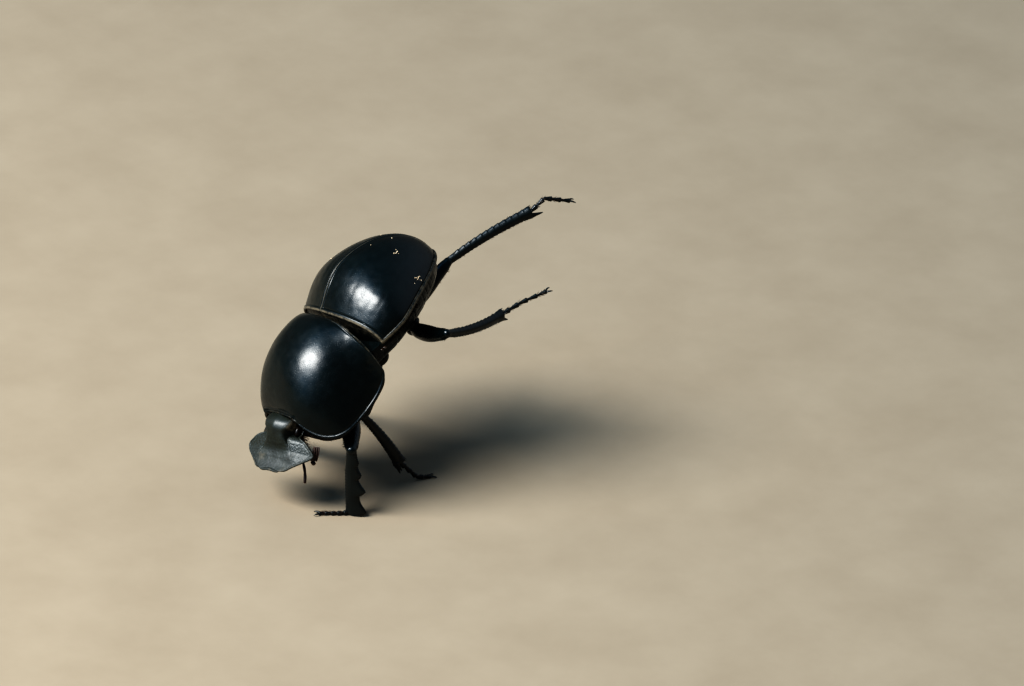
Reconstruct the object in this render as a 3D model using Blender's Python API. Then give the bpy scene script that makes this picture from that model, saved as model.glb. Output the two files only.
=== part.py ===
"""Flightless dung beetle, a still life-size model.

The beetle stands head down on its fore and middle legs and reaches back and up with its hind
legs, as it does while it pushes a ball. World axes: the head faces -Y, the beetle's left is +X,
+Z is up, and the floor is Z = 0. The origin is under the middle of the model's box.

Lengths are in millimetres and become metres in one place, new_object().
Body shapes are drawn in the trunk's own frame: x to the beetle's left, y towards its tail,
z towards its back, with the origin on the midline at the base of the elytra, level with their
side margins. The head has a frame of the same kind between its eyes.
"""

from math import cos, pi, radians, sin, sqrt

import bmesh
import bpy
from mathutils import Matrix, Vector

MM = 0.001
GAP = 0.3                      # clearance between neighbouring pieces

# Trunk: stance
TRUNK_HEIGHT = 20.5            # elytral base above the floor
TRUNK_PITCH = radians(27.8)    # head end down
TRUNK_ROLL = radians(-18.3)    # left side up

# Elytra, both together
ELYTRA_LENGTH = 17.8
ELYTRA_HALF_WIDTH = 10.9
ELYTRA_HEIGHT = 8.35
ELYTRA_WIDEST = 0.22           # share of the length behind the base
ELYTRA_HIGHEST = 0.39
BASE_WIDTH_SHARE = 0.93
BASE_HEIGHT_SHARE = 0.62
BASE_HOLLOW = 1.4              # how far the shoulders lie behind the middle of the base
MARGIN_RISE = 0.55             # side margin above its ends

# Pronotum
PRONOTUM_BASE = 0.7            # middle of the base, ahead of the elytral base
PRONOTUM_TOP = 4.75            # height of the base at the midline
PRONOTUM_PEAK = 5.95
PRONOTUM_PEAK_AT = 2.8
PRONOTUM_FRONT = 13.1
PRONOTUM_FRONT_TOP = -1.3
REAR_CORNER = (10.25, 1.1, -2.7)     # left, forward, up
SIDE_LOW = (9.05, 9.3, -6.3)         # where the side margin comes lowest
FRONT_CORNER = (4.4, 13.6, -1.95)
PRONOTUM_FULLNESS = 2.55       # exponent of the cross-section
RIM = 0.35                     # thickness of its edge
UNDER_ARCH = 2.2               # hollow of the pronotum's lower side

# Underside of the trunk
BELLY_INSET = 0.7              # from the elytral margin to the side of the belly
BELLY_DEPTH = 4.5
BELLY_FULLNESS = 1.9
THORAX_FRONT, THORAX_REAR = 0.3, -9.4
ABDOMEN_REAR, PYGIDIUM_REAR = -14.6, -17.2
STERNUM_DEPTH = 7.0            # breast keel below the elytral margins

# Head
HEAD_AT = (0.35, 15.4, -3.3)   # left, forward, up in the trunk's frame
HEAD_YAW, HEAD_PITCH, HEAD_ROLL = radians(6.5), radians(26.9), radians(14.5)
CHEEK = (5.85, 1.75, -1.85)    # corner of the cheek: left, forward, up
LOBE = (1.95, 5.15, -0.55)     # clypeal lobe
NOTCH = 0.5
HEAD_EDGE = 0.5                # thickness of the shovel's edge
CROWN_HEIGHT = 1.5
NECK = (2.3, -3.3)             # half width and place of the head's hidden end
EYE_AT = (2.4, -0.45, 0.4)
EYE_RADII = (0.5, 0.85, 0.4)

# Leg thickness, as half width and half thickness along each piece
FEMUR_PROFILE = ((0.0, 0.62, 0.6), (0.14, 0.98, 0.85), (0.45, 1.22, 0.95), (0.8, 0.95, 0.75),
                 (1.0, 0.8, 0.62))
HIND_TIBIA = (0.42, 0.72)
MID_TIBIA = (0.42, 0.84)
FORE_TIBIA_INNER = 0.75        # half width on the inner side
TIBIA_THICK = 0.36
TARSUS_JOINTS = 5
TARSUS_HALF = (0.27, 0.37)     # at a joint and at the widest of a segment
CLAW_LENGTH = 0.9

BLACK = (0.010, 0.011, 0.013)
BROWN = (0.10, 0.030, 0.014)


# ---------------------------------------------------------------- meshes

def power(value, exponent):
    """Signed power, for superellipses."""
    return (1 if value >= 0 else -1) * abs(value) ** exponent


def bridge(verts, upper, lower):
    """Triangles between two rows of vertex numbers that run side by side."""
    faces = []
    i, j = 0, 0
    while i < len(upper) - 1 or j < len(lower) - 1:
        if j == len(lower) - 1:
            take_upper = True
        elif i == len(upper) - 1:
            take_upper = False
        else:
            take_upper = ((verts[upper[i + 1]] - verts[lower[j]]).length
                          <= (verts[upper[i]] - verts[lower[j + 1]]).length)
        if take_upper:
            faces.append((upper[i], upper[i + 1], lower[j]))
            i += 1
        else:
            faces.append((upper[i], lower[j + 1], lower[j]))
            j += 1
    return faces


def loft(rings, upper=0):
    """Closed mesh through rings of equal length.

    An end is closed with a fan, or, when upper counts the points of a ring's upper row, with
    triangles between its upper and its lower row.
    """
    count = len(rings[0])
    verts = [Vector(p) for ring in rings for p in ring]
    faces = []
    for row in range(len(rings) - 1):
        a, b = row * count, (row + 1) * count
        for k in range(count):
            n = (k + 1) % count
            faces.append((a + k, a + n, b + n, b + k))
    for row in (0, len(rings) - 1):
        start = row * count
        if upper:
            numbers = list(range(start, start + count))
            faces += bridge(verts, numbers[:upper], numbers[upper:][::-1])
            continue
        verts.append(sum((verts[start + k] for k in range(count)), Vector()) / count)
        faces += [(start + k, start + (k + 1) % count, len(verts) - 1) for k in range(count)]
    return verts, faces


def ellipsoid(centre, axes, radii, grow=0.0, around=10, along=6):
    """Ellipsoid on three unit axes, with its poles on the first."""
    rings = []
    for i in range(1, along):
        a = pi * i / along
        ring = []
        for k in range(around):
            b = 2 * pi * k / around
            unit = (-cos(a), sin(a) * cos(b), sin(a) * sin(b))
            ring.append(centre + sum((axes[j] * (radii[j] + grow) * unit[j] for j in range(3)), Vector()))
        rings.append(ring)
    verts, faces = loft(rings)
    verts[-2] = centre - axes[0] * (radii[0] + grow)
    verts[-1] = centre + axes[0] * (radii[0] + grow)
    return verts, faces


def limb(stations, wide, grow=0.0, sides=10, fullness=2.2, blunt=0.6):
    """Solid round a path. A station is (point, inner, outer, thickness), all half sizes.

    wide is the direction of the outer side. Both ends are rounded by blunt times the thickness,
    or left flat without it.
    """
    points = [Vector(s[0]) for s in stations]
    rings = []
    for i, (_, inner, outer, thick) in enumerate(stations):
        ahead = points[min(i + 1, len(points) - 1)] - points[max(i - 1, 0)]
        ahead.normalize()
        across = (wide - ahead * wide.dot(ahead)).normalized()
        normal = ahead.cross(across)
        steps = [(0.0, 1.0)]
        reach = blunt * thick + grow
        if blunt and i == 0:
            steps = [(-reach, 0.45), (-0.7 * reach, 0.8), (0.0, 1.0)]
        if blunt and i == len(stations) - 1:
            steps = [(0.0, 1.0), (0.7 * reach, 0.8), (reach, 0.45)]
        for shift, scale in steps:
            ring = []
            for k in range(sides):
                a = 2 * pi * (k + 0.5) / sides
                half = outer if cos(a) > 0 else inner
                x = (half + grow) * scale * power(cos(a), 2 / fullness)
                y = (thick + grow) * scale * power(sin(a), 2 / fullness)
                ring.append(points[i] + ahead * shift + across * x + normal * y)
            rings.append(ring)
    return loft(rings)


def along(points, share):
    """Point on a quadratic curve through three points given as start, bend and end."""
    start, bend, end = points
    return (start * (1 - share) ** 2 + bend * 2 * share * (1 - share) + end * share ** 2)


def new_material(name, colour, roughness):
    material = bpy.data.materials.new(name)
    material.use_nodes = True
    shader = material.node_tree.nodes["Principled BSDF"]
    shader.inputs["Base Color"].default_value = (*colour, 1.0)
    shader.inputs["Roughness"].default_value = roughness
    shader.inputs["Metallic"].default_value = 0.0
    return material


def new_object(name, shape, parent, colour=BLACK, roughness=0.3):
    """Mesh object in metres, facing outwards, smooth but for its sharp edges."""
    verts, faces = shape
    mesh = bpy.data.meshes.new(name)
    mesh.from_pydata([v * MM for v in verts], [], faces)
    work = bmesh.new()
    work.from_mesh(mesh)
    bmesh.ops.recalc_face_normals(work, faces=work.faces)
    work.to_mesh(mesh)
    work.free()
    mesh.shade_smooth()
    mesh.set_sharp_from_angle(angle=radians(50))
    mesh.materials.append(new_material(name, colour, roughness))
    piece = bpy.data.objects.new(name, mesh)
    piece.parent = parent
    bpy.context.scene.collection.objects.link(piece)
    return piece


def cutter(name, shape, parent):
    """A guide that other pieces subtract or add."""
    guide = new_object(name, shape, parent)
    guide.hide_render = True
    guide.display_type = "WIRE"
    return guide


def combine(piece, other, operation="DIFFERENCE"):
    boolean = piece.modifiers.new(other.name, "BOOLEAN")
    boolean.operation = operation
    boolean.solver = "EXACT"
    boolean.object = other


def empty(name, matrix, parent=None):
    frame = bpy.data.objects.new(name, None)
    frame.parent = parent
    frame.matrix_local = matrix
    bpy.context.scene.collection.objects.link(frame)
    return frame


# ---------------------------------------------------------------- elytra and belly

def elytra_section(share):
    """Half width, height and margin height of the wing cases at a share of their length."""
    if share < ELYTRA_WIDEST:
        swell = sin(pi / 2 * share / ELYTRA_WIDEST)
        half = BASE_WIDTH_SHARE + (1 - BASE_WIDTH_SHARE) * swell
    else:
        half = sqrt(max(1 - (share - ELYTRA_WIDEST) / (1 - ELYTRA_WIDEST), 0.0))
    if share < ELYTRA_HIGHEST:
        rise = sin(pi / 2 * share / ELYTRA_HIGHEST)
        high = BASE_HEIGHT_SHARE + (1 - BASE_HEIGHT_SHARE) * rise
    else:
        high = sqrt(max(1 - ((share - ELYTRA_HIGHEST) / (1 - ELYTRA_HIGHEST)) ** 2, 0.0))
    return half * ELYTRA_HALF_WIDTH, high * ELYTRA_HEIGHT, MARGIN_RISE * sin(pi * share)


def elytron(side, stations=18, arc=9):
    """One wing case: a quarter dome from the suture to the side margin, closed below."""
    rings = []
    for i in range(stations):
        share = sin(pi / 2 * i / (stations - 1)) * 0.999
        half, high, margin = elytra_section(share)
        half = max(half, GAP)
        ring = []
        for k in range(arc + 1):
            a = pi / 2 * k / arc
            x = GAP / 2 + (half - GAP / 2) * sin(a)
            z = margin + (high - margin) * cos(a)
            ring.append((x, z))
        ring += [(0.5 * half, margin - 0.02), (GAP / 2, margin - 0.02)]
        back = ELYTRA_LENGTH * share
        rings.append([(side * x, back + BASE_HOLLOW * (x / ELYTRA_HALF_WIDTH) ** 2 * (1 - share), z)
                      for x, z in ring])
    return loft(rings)


def belly_ring(forward, points=14, narrow=1.0, shallow=1.0):
    """Closed ring of the underside below the wing cases at one station."""
    share = min(max(-forward / ELYTRA_LENGTH, 0.0), 1.0)
    half, _, margin = elytra_section(share)
    half = max(half - BELLY_INSET, 0.6) * narrow
    tail = max((share - 0.45) / 0.55, 0.0)
    depth = BELLY_DEPTH * shallow * sqrt(max(1 - tail ** 1.6, 0.0)) + 0.25
    top = min(margin, MARGIN_RISE * 0.9) - GAP - 0.05
    ring = []
    for k in range(points + 1):
        a = pi * k / points
        ring.append((half * power(cos(a), 2 / BELLY_FULLNESS), -forward,
                     top - depth * sin(a) ** (2 / BELLY_FULLNESS)))
    return ring


def belly(front, rear, stations, ends=(1.0, 1.0)):
    """A length of the underside; its end rings may be drawn in."""
    rings = []
    for i in range(stations):
        forward = front + (rear - front) * i / (stations - 1)
        draw = ends[0] if i == 0 else ends[1] if i == stations - 1 else 1.0
        rings.append(belly_ring(forward, narrow=draw, shallow=draw))
    return loft(rings)


# ---------------------------------------------------------------- prothorax

def pronotum_line(share):
    """Side margin and midline top of the pronotum at a share of its length."""
    rise = sin(pi * min(share, 0.5))
    back = share <= 0.5
    x0, f0, z0 = REAR_CORNER
    x1, f1, z1 = SIDE_LOW
    x2, f2, z2 = FRONT_CORNER
    turn = pi * (share if back else share - 0.5)
    if back:
        margin = (x0 + (x1 - x0) * rise, f1 - (f1 - f0) * cos(turn), z0 + (z1 - z0) * rise)
        top = (PRONOTUM_PEAK_AT - (PRONOTUM_PEAK_AT - PRONOTUM_BASE) * cos(turn),
               PRONOTUM_TOP + (PRONOTUM_PEAK - PRONOTUM_TOP) * rise)
    else:
        margin = (x2 + (x1 - x2) * cos(turn), f1 + (f2 - f1) * sin(turn),
                  z1 + (z2 - z1) * (share * 2 - 1) ** 2.5)
        top = (PRONOTUM_PEAK_AT + (PRONOTUM_FRONT - PRONOTUM_PEAK_AT) * sin(turn),
               PRONOTUM_FRONT_TOP + (PRONOTUM_PEAK - PRONOTUM_FRONT_TOP) * cos(turn) ** 1.25)
    return margin, top


def under_arch(share, x, half):
    """Height of the pronotum's lower side above its margins."""
    hollow = UNDER_ARCH * (0.6 + 0.4 * sin(pi * share)) * (1 - share ** 4)
    return hollow * (1 - min(abs(x) / half, 1.0) ** 2)


def pronotum(grow=0.0, stations=17, arc=20, floor=6):
    rings = []
    for i in range(stations):
        share = i / (stations - 1)
        (half, forward, low), (top_forward, top) = pronotum_line(share)
        stretch = grow * cos(pi * share)
        ring = []
        for k in range(arc + 1):
            a = -pi / 2 + pi * k / arc
            x = (half + grow) * power(sin(a), 2 / PRONOTUM_FULLNESS)
            lift = abs(cos(a)) ** (2 / PRONOTUM_FULLNESS)
            y = forward + (top_forward - forward) * lift - stretch
            ring.append((x, -y, low + (top + grow - low) * lift))
        for k in range(floor + 1):
            x = (half + grow - 0.25) * (1 - 2 * k / floor)
            bend = (top_forward - forward) * (1 - (x / (half + grow)) ** 2) - RIM
            ring.append((x, stretch - forward - bend * share ** 6,
                         low - RIM - grow + under_arch(share, x, half)))
        rings.append(ring)
    return loft(rings, upper=arc + 1)


def prosternum(grow=0.0, stations=9, across=8):
    """Underside of the prothorax, set into the hollow of the pronotum."""
    rings = []
    for i in range(stations):
        share = 0.02 + 0.78 * i / (stations - 1)
        (half, forward, low), _ = pronotum_line(share)
        inside = half - 1.3
        ring = []
        for k in range(across + 1):
            x = inside * (1 - 2 * k / across)
            ring.append((x, -forward, low - RIM - GAP - 0.05 + under_arch(share, x, half)))
        edge = low - RIM - GAP - 0.35
        keel = min(-STERNUM_DEPTH * sin(pi * min(0.28 + share * 0.62, 1.0)) ** 0.6, edge - 0.2)
        for k in range(across + 1):
            x = inside * (-1 + 2 * k / across) * 0.98
            ring.append((x, -forward, edge + (keel - edge) * (1 - (x / half) ** 2) - grow))
        rings.append(ring)
    return loft(rings, upper=across + 1)


# ---------------------------------------------------------------- head

def head(grow=0.0, across=8):
    """Shovel-shaped head: neck, crown between the eyes, cheeks and two clypeal lobes."""
    cheek_x, cheek_y, cheek_z = CHEEK
    lobe_x, lobe_y, lobe_z = LOBE
    # forward, half width, edge height, crown height, depth below the edge at the midline
    stations = [(NECK[1], NECK[0] * 0.8, -0.9, 0.05, 0.9),
                (-2.3, NECK[0], -0.8, CROWN_HEIGHT * 0.55, 1.4),
                (-1.1, 2.75, -0.75, CROWN_HEIGHT * 0.97, 1.9),
                (-0.2, 3.0, -0.85, CROWN_HEIGHT, 2.1),
                (0.5, 3.85, -1.2, CROWN_HEIGHT * 0.85, 2.1),
                (cheek_y, cheek_x, cheek_z, CROWN_HEIGHT * 0.5, 1.7)]
    for share in (0.4, 0.75, 0.92, 1.0):
        forward = cheek_y + (lobe_y - cheek_y) * share
        half = cheek_x + (lobe_x - cheek_x) * share ** 1.15
        edge = cheek_z + (lobe_z - cheek_z) * share ** 0.6
        crown = CROWN_HEIGHT * 0.5 + (lobe_z + 0.1 - CROWN_HEIGHT * 0.5) * share ** 0.9
        stations.append((forward, half, edge, crown, 1.5 * (1 - share)))
    rings = []
    for forward, half, edge, crown, depth in stations:
        front = max((forward - cheek_y) / (lobe_y - cheek_y), 0.0)
        upper, lower = [], []
        for k in range(across + 1):
            x = half * (1 - 2 * k / across)
            bow = 1 - abs(x / half) ** 2.2
            dent = NOTCH * front ** 6 * (1 - min(abs(x) / lobe_x, 1.0) ** 2)
            wide = x * (half + grow) / half
            upper.append((wide, -forward + dent - grow * front, edge + (crown - edge) * bow + grow))
            lower.append((wide, -forward + dent - grow * front, edge - HEAD_EDGE - depth * bow - grow))
        rings.append(upper + lower[::-1])
    return loft(rings, upper=across + 1)


def eye(side, grow=0.0):
    centre = Vector((side * EYE_AT[0], -EYE_AT[1], EYE_AT[2]))
    axes = [Vector((side * 0.85, 0, 0.53)), Vector((0, 1, 0)), Vector((side * -0.53, 0, 0.85))]
    return ellipsoid(centre, axes, EYE_RADII, grow, around=8, along=5)


def mouthparts(grow=0.0):
    """Labium and maxillae under the middle of the head."""
    axes = [Vector((0, 1, 0)), Vector((1, 0, 0)), Vector((0, 0, 1))]
    return ellipsoid(Vector((0, -0.6, -3.6)), axes, (2.4, 2.2, 1.2), grow, around=10, along=6)


def palp(side):
    """Maxillary palp, bent round the edge of the head."""
    path = [Vector((side * x, y, z)) for x, y, z in PALP_PATH]
    stations = [(along(path, s), r, r, r)
                for s, r in ((0, 0.26), (0.3, 0.3), (0.45, 0.26), (0.7, 0.3), (0.88, 0.28), (1.0, 0.25))]
    return limb(stations, Vector((0.1, 0, 1)), sides=6)


ANTENNA_ROOT = (2.3, 0.05, -1.85)
ANTENNA_BENDS = ((3.6, -1.4, -3.9), (4.1, -2.3, -4.1), (4.5, -2.3, -3.8))
CLUB_END = (4.75, -0.4, -3.1)
PALP_PATH = ((1.3, -1.2, -3.6), (3.2, -2.9, -3.7), (3.1, -5.2, -4.3))


def antenna(side):
    """Scape and funicle, to the root of the club."""
    path = [Vector((side * x, y, z)) for x, y, z in (ANTENNA_ROOT, *ANTENNA_BENDS)]
    stations = []
    for a, b in zip(path, path[1:]):
        stations += [(a.lerp(b, s), r, r, r) for s, r in ((0.0, 0.27), (0.5, 0.31))]
    stations.append((path[-1], 0.27, 0.27, 0.27))
    return limb(stations, Vector((0, 0, 1)), sides=6)


def club(side):
    """Leaf-shaped club of three lamellae."""
    root = Vector((side * ANTENNA_BENDS[-1][0], *ANTENNA_BENDS[-1][1:]))
    tip = Vector((side * CLUB_END[0], *CLUB_END[1:]))
    lead = (tip - root).normalized()
    start = root + lead * (GAP + 0.35)
    stations = [(start + lead * s, w, w, 0.42) for s, w in ((0.1, 0.34), (0.5, 0.62), (1.1, 0.68), (1.6, 0.5))]
    return limb(stations, Vector((0, 1, 0)), sides=8)


# ---------------------------------------------------------------- legs

def femur(start, knee, wide, grow=0.0, thickness=1.0, sag=0.0):
    """Club-shaped femur; sag bends its middle down."""
    bend = (start + knee) / 2 - Vector((0, 0, 2 * sag))
    stations = [(along((start, bend, knee), s), w * thickness, w * thickness, t * thickness)
                for s, w, t in FEMUR_PROFILE]
    return limb(stations, wide, grow, sides=10)


def plain_tibia(knee, ankle, wide, widths, bow, grow=0.0):
    """Middle or hind tibia, a little curved, broadening to its end."""
    bend = (knee + ankle) / 2 + wide.normalized() * bow * 2
    stations = []
    for i in range(7):
        share = i / 6
        half = widths[0] + (widths[1] - widths[0]) * share ** 1.3
        thick = TIBIA_THICK + 0.14 * share
        stations.append((along((knee, bend, ankle), share), half, half, thick))
    return limb(stations, wide, grow, sides=6)


def fore_tibia(knee, ankle, wide, grow=0.0):
    """Digging tibia: a blade with three large teeth on its outer edge and small ones above."""
    # share of the length, outer half width; each tooth is a slow rise and a quick fall
    outline = [(0.0, 0.62), (0.1, 0.72), (0.22, 0.80), (0.26, 0.98), (0.30, 0.84), (0.38, 0.92),
               (0.46, 1.62), (0.52, 1.05), (0.60, 1.15), (0.70, 1.95), (0.76, 1.15), (0.86, 1.25),
               (0.97, 1.95), (1.0, 1.2)]
    stations = [(knee.lerp(ankle, s), FORE_TIBIA_INNER * (0.7 + 0.3 * min(s * 3, 1.0)), outer,
                 0.42 + 0.08 * min(s * 3, 1.0)) for s, outer in outline]
    return limb(stations, wide, grow, sides=8, fullness=2.0)


def spur(root, tip, thick=0.3):
    stations = [(root, thick, thick, thick), (root.lerp(tip, 0.55), thick * 0.85, thick * 0.85, thick * 0.85),
                (tip, 0.14, 0.14, 0.14)]
    return limb(stations, Vector((0.3, 0.2, 1.0)), sides=5)


def tarsus(path, grow=0.0):
    """Five segments along a bent path."""
    lengths = [(b - a).length for a, b in zip(path, path[1:])]
    total = sum(lengths)

    def place(share):
        left = share * total
        for (a, b), length in zip(zip(path, path[1:]), lengths):
            if left <= length:
                return a.lerp(b, left / length)
            left -= length
        return path[-1]

    stations = []
    thin, broad = TARSUS_HALF
    for joint in range(TARSUS_JOINTS):
        for inner, half in ((0.06, thin), (0.75, broad)):
            share = (joint + inner) / TARSUS_JOINTS
            stations.append((place(share), half, half, max(half * 0.9, thin)))
    stations.append((place(1.0), thin, thin, thin))
    return limb(stations, Vector((0.2, 0.1, 1.0)), grow, sides=6)


def claws(path):
    """Two curved claws on the last segment."""
    lead = (path[-1] - path[-2]).normalized()
    side = lead.cross(Vector((0, 0, 1))).normalized()
    root = path[-1] - lead * 0.15
    pieces = []
    for way in (1, -1):
        tip = root + lead * CLAW_LENGTH + side * way * 0.55
        middle = root + lead * CLAW_LENGTH * 0.55 + side * way * 0.42 + Vector((0, 0, 0.08))
        pieces.append(limb([(root, 0.2, 0.2, 0.2), (middle, 0.18, 0.18, 0.18), (tip, 0.1, 0.1, 0.1)],
                           Vector((0, 0, 1)), sides=5, blunt=0))
    return pieces


# Each leg: hip in the trunk's frame (left, forward, up), then knee, ankle and foot over the
# floor (left, back, up) from the point under the elytral base, the outer side of the blade, and
# the size of the femur. The hind feet lie where they would hold a ball of 35 mm.
LEGS = {
    "fore_left": dict(hip=(2.6, 6.0, -7.5), knee=(10.4, -6.7, 10.0), ankle=(10.5, -6.6, 0.3),
                      foot=((9.6, -7.7, 0.24), (7.6, -10.1, 0.22)), wide=(0.85, 0.52, 0.0), size=1.1),
    "fore_right": dict(hip=(-2.6, 6.0, -7.5), knee=(-6.2, -4.0, 6.6), ankle=(-13.4, -2.6, 0.3),
                       foot=((-13.2, -4.0, 0.24), (-13.4, -5.6, 0.22)), wide=(-0.7, 0.5, 0.5), size=1.1),
    "mid_left": dict(hip=(3.0, -1.4, -5.1), knee=(6.1, -1.2, 11.5), ankle=(8.0, 3.6, 3.6),
                     foot=((8.6, 6.2, 0.6), (9.0, 8.2, 0.24)), wide=(0.3, 1.0, 0.6), size=0.95, bow=0.25),
    "mid_right": dict(hip=(-3.0, -1.4, -5.1), knee=(-7.5, 3.6, 10.5), ankle=(-12.4, 7.6, 3.6),
                      foot=((-13.5, 9.7, 0.6), (-14.2, 11.5, 0.24)), wide=(-0.3, 1.0, 0.6), size=0.95,
                      bow=0.25),
    "hind_left": dict(hip=(1.6, -8.2, -5.1), knee=(12.6, 8.2, 23.7), ankle=(9.2, 20.5, 21.0),
                      foot=((9.6, 23.6, 22.0), (10.6, 27.3, 22.9)), wide=(-0.3, 0.3, 0.9), size=0.95,
                      bow=-0.55, sag=0.5),
    "hind_right": dict(hip=(-1.6, -8.2, -5.1), knee=(-0.5, 19.1, 25.7), ankle=(3.2, 30.6, 31.0),
                       foot=((3.2, 33.1, 32.3), (4.6, 36.4, 31.4)), wide=(-0.5, -0.35, 0.8), size=0.95,
                       bow=0.35),
}
COXA_RADII = {"fore": (2.1, 1.5, 1.4), "mid": (1.9, 1.4, 1.0), "hind": (2.1, 1.2, 0.9)}
COXA_OFFSET = {"fore": (0.9, 0.9), "mid": (0.8, 0.8), "hind": (1.5, 0.95)}   # outward, inward of the skin
COXA_TILT = {"fore": radians(0), "mid": radians(14), "hind": radians(16)}


def build_leg(name, spec, trunk, root):
    """Coxa, femur, tibia and tarsus of one leg; returns the room that the body leaves for it."""
    pair = name.split("_")[0]
    side = 1 if name.endswith("left") else -1
    turn = trunk.matrix_local.to_3x3()
    base = trunk.matrix_local.translation / MM

    def in_world(point):
        return base + turn @ Vector((point[0], -point[1], point[2]))

    hip = in_world(spec["hip"])
    knee, ankle = Vector(spec["knee"]), Vector(spec["ankle"])
    toes = [Vector(p) for p in spec["foot"]]
    wide = Vector(spec["wide"])

    # the coxa lies crosswise, the hip joint at its inner end
    tilt = COXA_TILT[pair]
    axes = [turn @ Vector(v) for v in ((side * cos(tilt), 0.0, sin(tilt)), (0.0, 1.0, 0.0),
                                       (-sin(tilt), 0.0, side * cos(tilt)))]
    outward, inward = COXA_OFFSET[pair]
    centre = hip + turn @ Vector((side * outward, 0.0, inward))
    radii = COXA_RADII[pair]
    new_object(f"coxa_{name}", ellipsoid(centre, axes, radii), root)
    coxa_room = cutter(f"room_coxa_{name}", ellipsoid(centre, axes, radii, GAP), root)

    root_of_thigh = hip + (knee - hip).normalized() * 0.6

    def thigh_shape(grow=0.0):
        return femur(root_of_thigh, knee, wide, grow, spec["size"], spec.get("sag", 0.0))

    thigh = new_object(f"femur_{name}", thigh_shape(), root)
    thigh_room = cutter(f"room_femur_{name}", thigh_shape(GAP), root)
    combine(thigh, coxa_room)
    leg_room = cutter(f"room_leg_{name}", thigh_shape(GAP), root)
    combine(leg_room, coxa_room, "UNION")

    if pair == "fore":
        def shape(grow=0.0):
            return fore_tibia(knee, ankle, wide, grow)
    else:
        widths = MID_TIBIA if pair == "mid" else HIND_TIBIA
        bow = spec["bow"]

        def shape(grow=0.0):
            return plain_tibia(knee, ankle, wide, widths, bow, grow)
    shin = new_object(f"tibia_{name}", shape(), root)
    shin_room = cutter(f"room_tibia_{name}", shape(GAP), root)
    lead = (ankle - knee).normalized()
    if pair != "fore":
        across = (wide - lead * wide.dot(lead)).normalized()
        tip = ankle + lead * 1.5 - across * 0.9
        combine(shin, cutter(f"spur_{name}", spur(ankle - lead * 0.4 - across * 0.3, tip), root), "UNION")
    combine(shin, thigh_room)

    start = ankle - lead * 0.2 if pair != "fore" else ankle - wide.normalized() * 0.3 + Vector((0, 0, 0.1))
    path = [start, *toes]
    foot = new_object(f"tarsus_{name}", tarsus(path), root)
    for number, claw in enumerate(claws(path)):
        combine(foot, cutter(f"claw_{number}_{name}", claw, root), "UNION")
    combine(foot, shin_room)

    if pair != "hind":
        below = cutter(f"floor_{name}", floor_block(), root)
        for piece in (shin, foot):
            combine(piece, below)
    return leg_room


def floor_block(size=60.0, depth=5.0):
    """Everything under the floor, which flattens the feet at one level."""
    corners = [(-size, -size), (size, -size), (size, size), (-size, size)]
    return loft([[(x, y, z) for x, y in corners] for z in (-depth, 0.0)])


# ---------------------------------------------------------------- assembly

def clear_scene():
    for item in list(bpy.data.objects):
        bpy.data.objects.remove(item, do_unlink=True)


def centre_on_box(root):
    """Move the root so that the origin lies under the middle of the model's box."""
    bpy.context.view_layer.update()
    graph = bpy.context.evaluated_depsgraph_get()
    xs, ys = [], []
    for piece in bpy.data.objects:
        if piece.type != "MESH" or piece.hide_render:
            continue
        shape = piece.evaluated_get(graph)
        for vertex in shape.to_mesh().vertices:
            point = shape.matrix_world @ vertex.co
            xs.append(point.x)
            ys.append(point.y)
        shape.to_mesh_clear()
    root.location = (-(min(xs) + max(xs)) / 2, -(min(ys) + max(ys)) / 2, 0.0)


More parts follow.
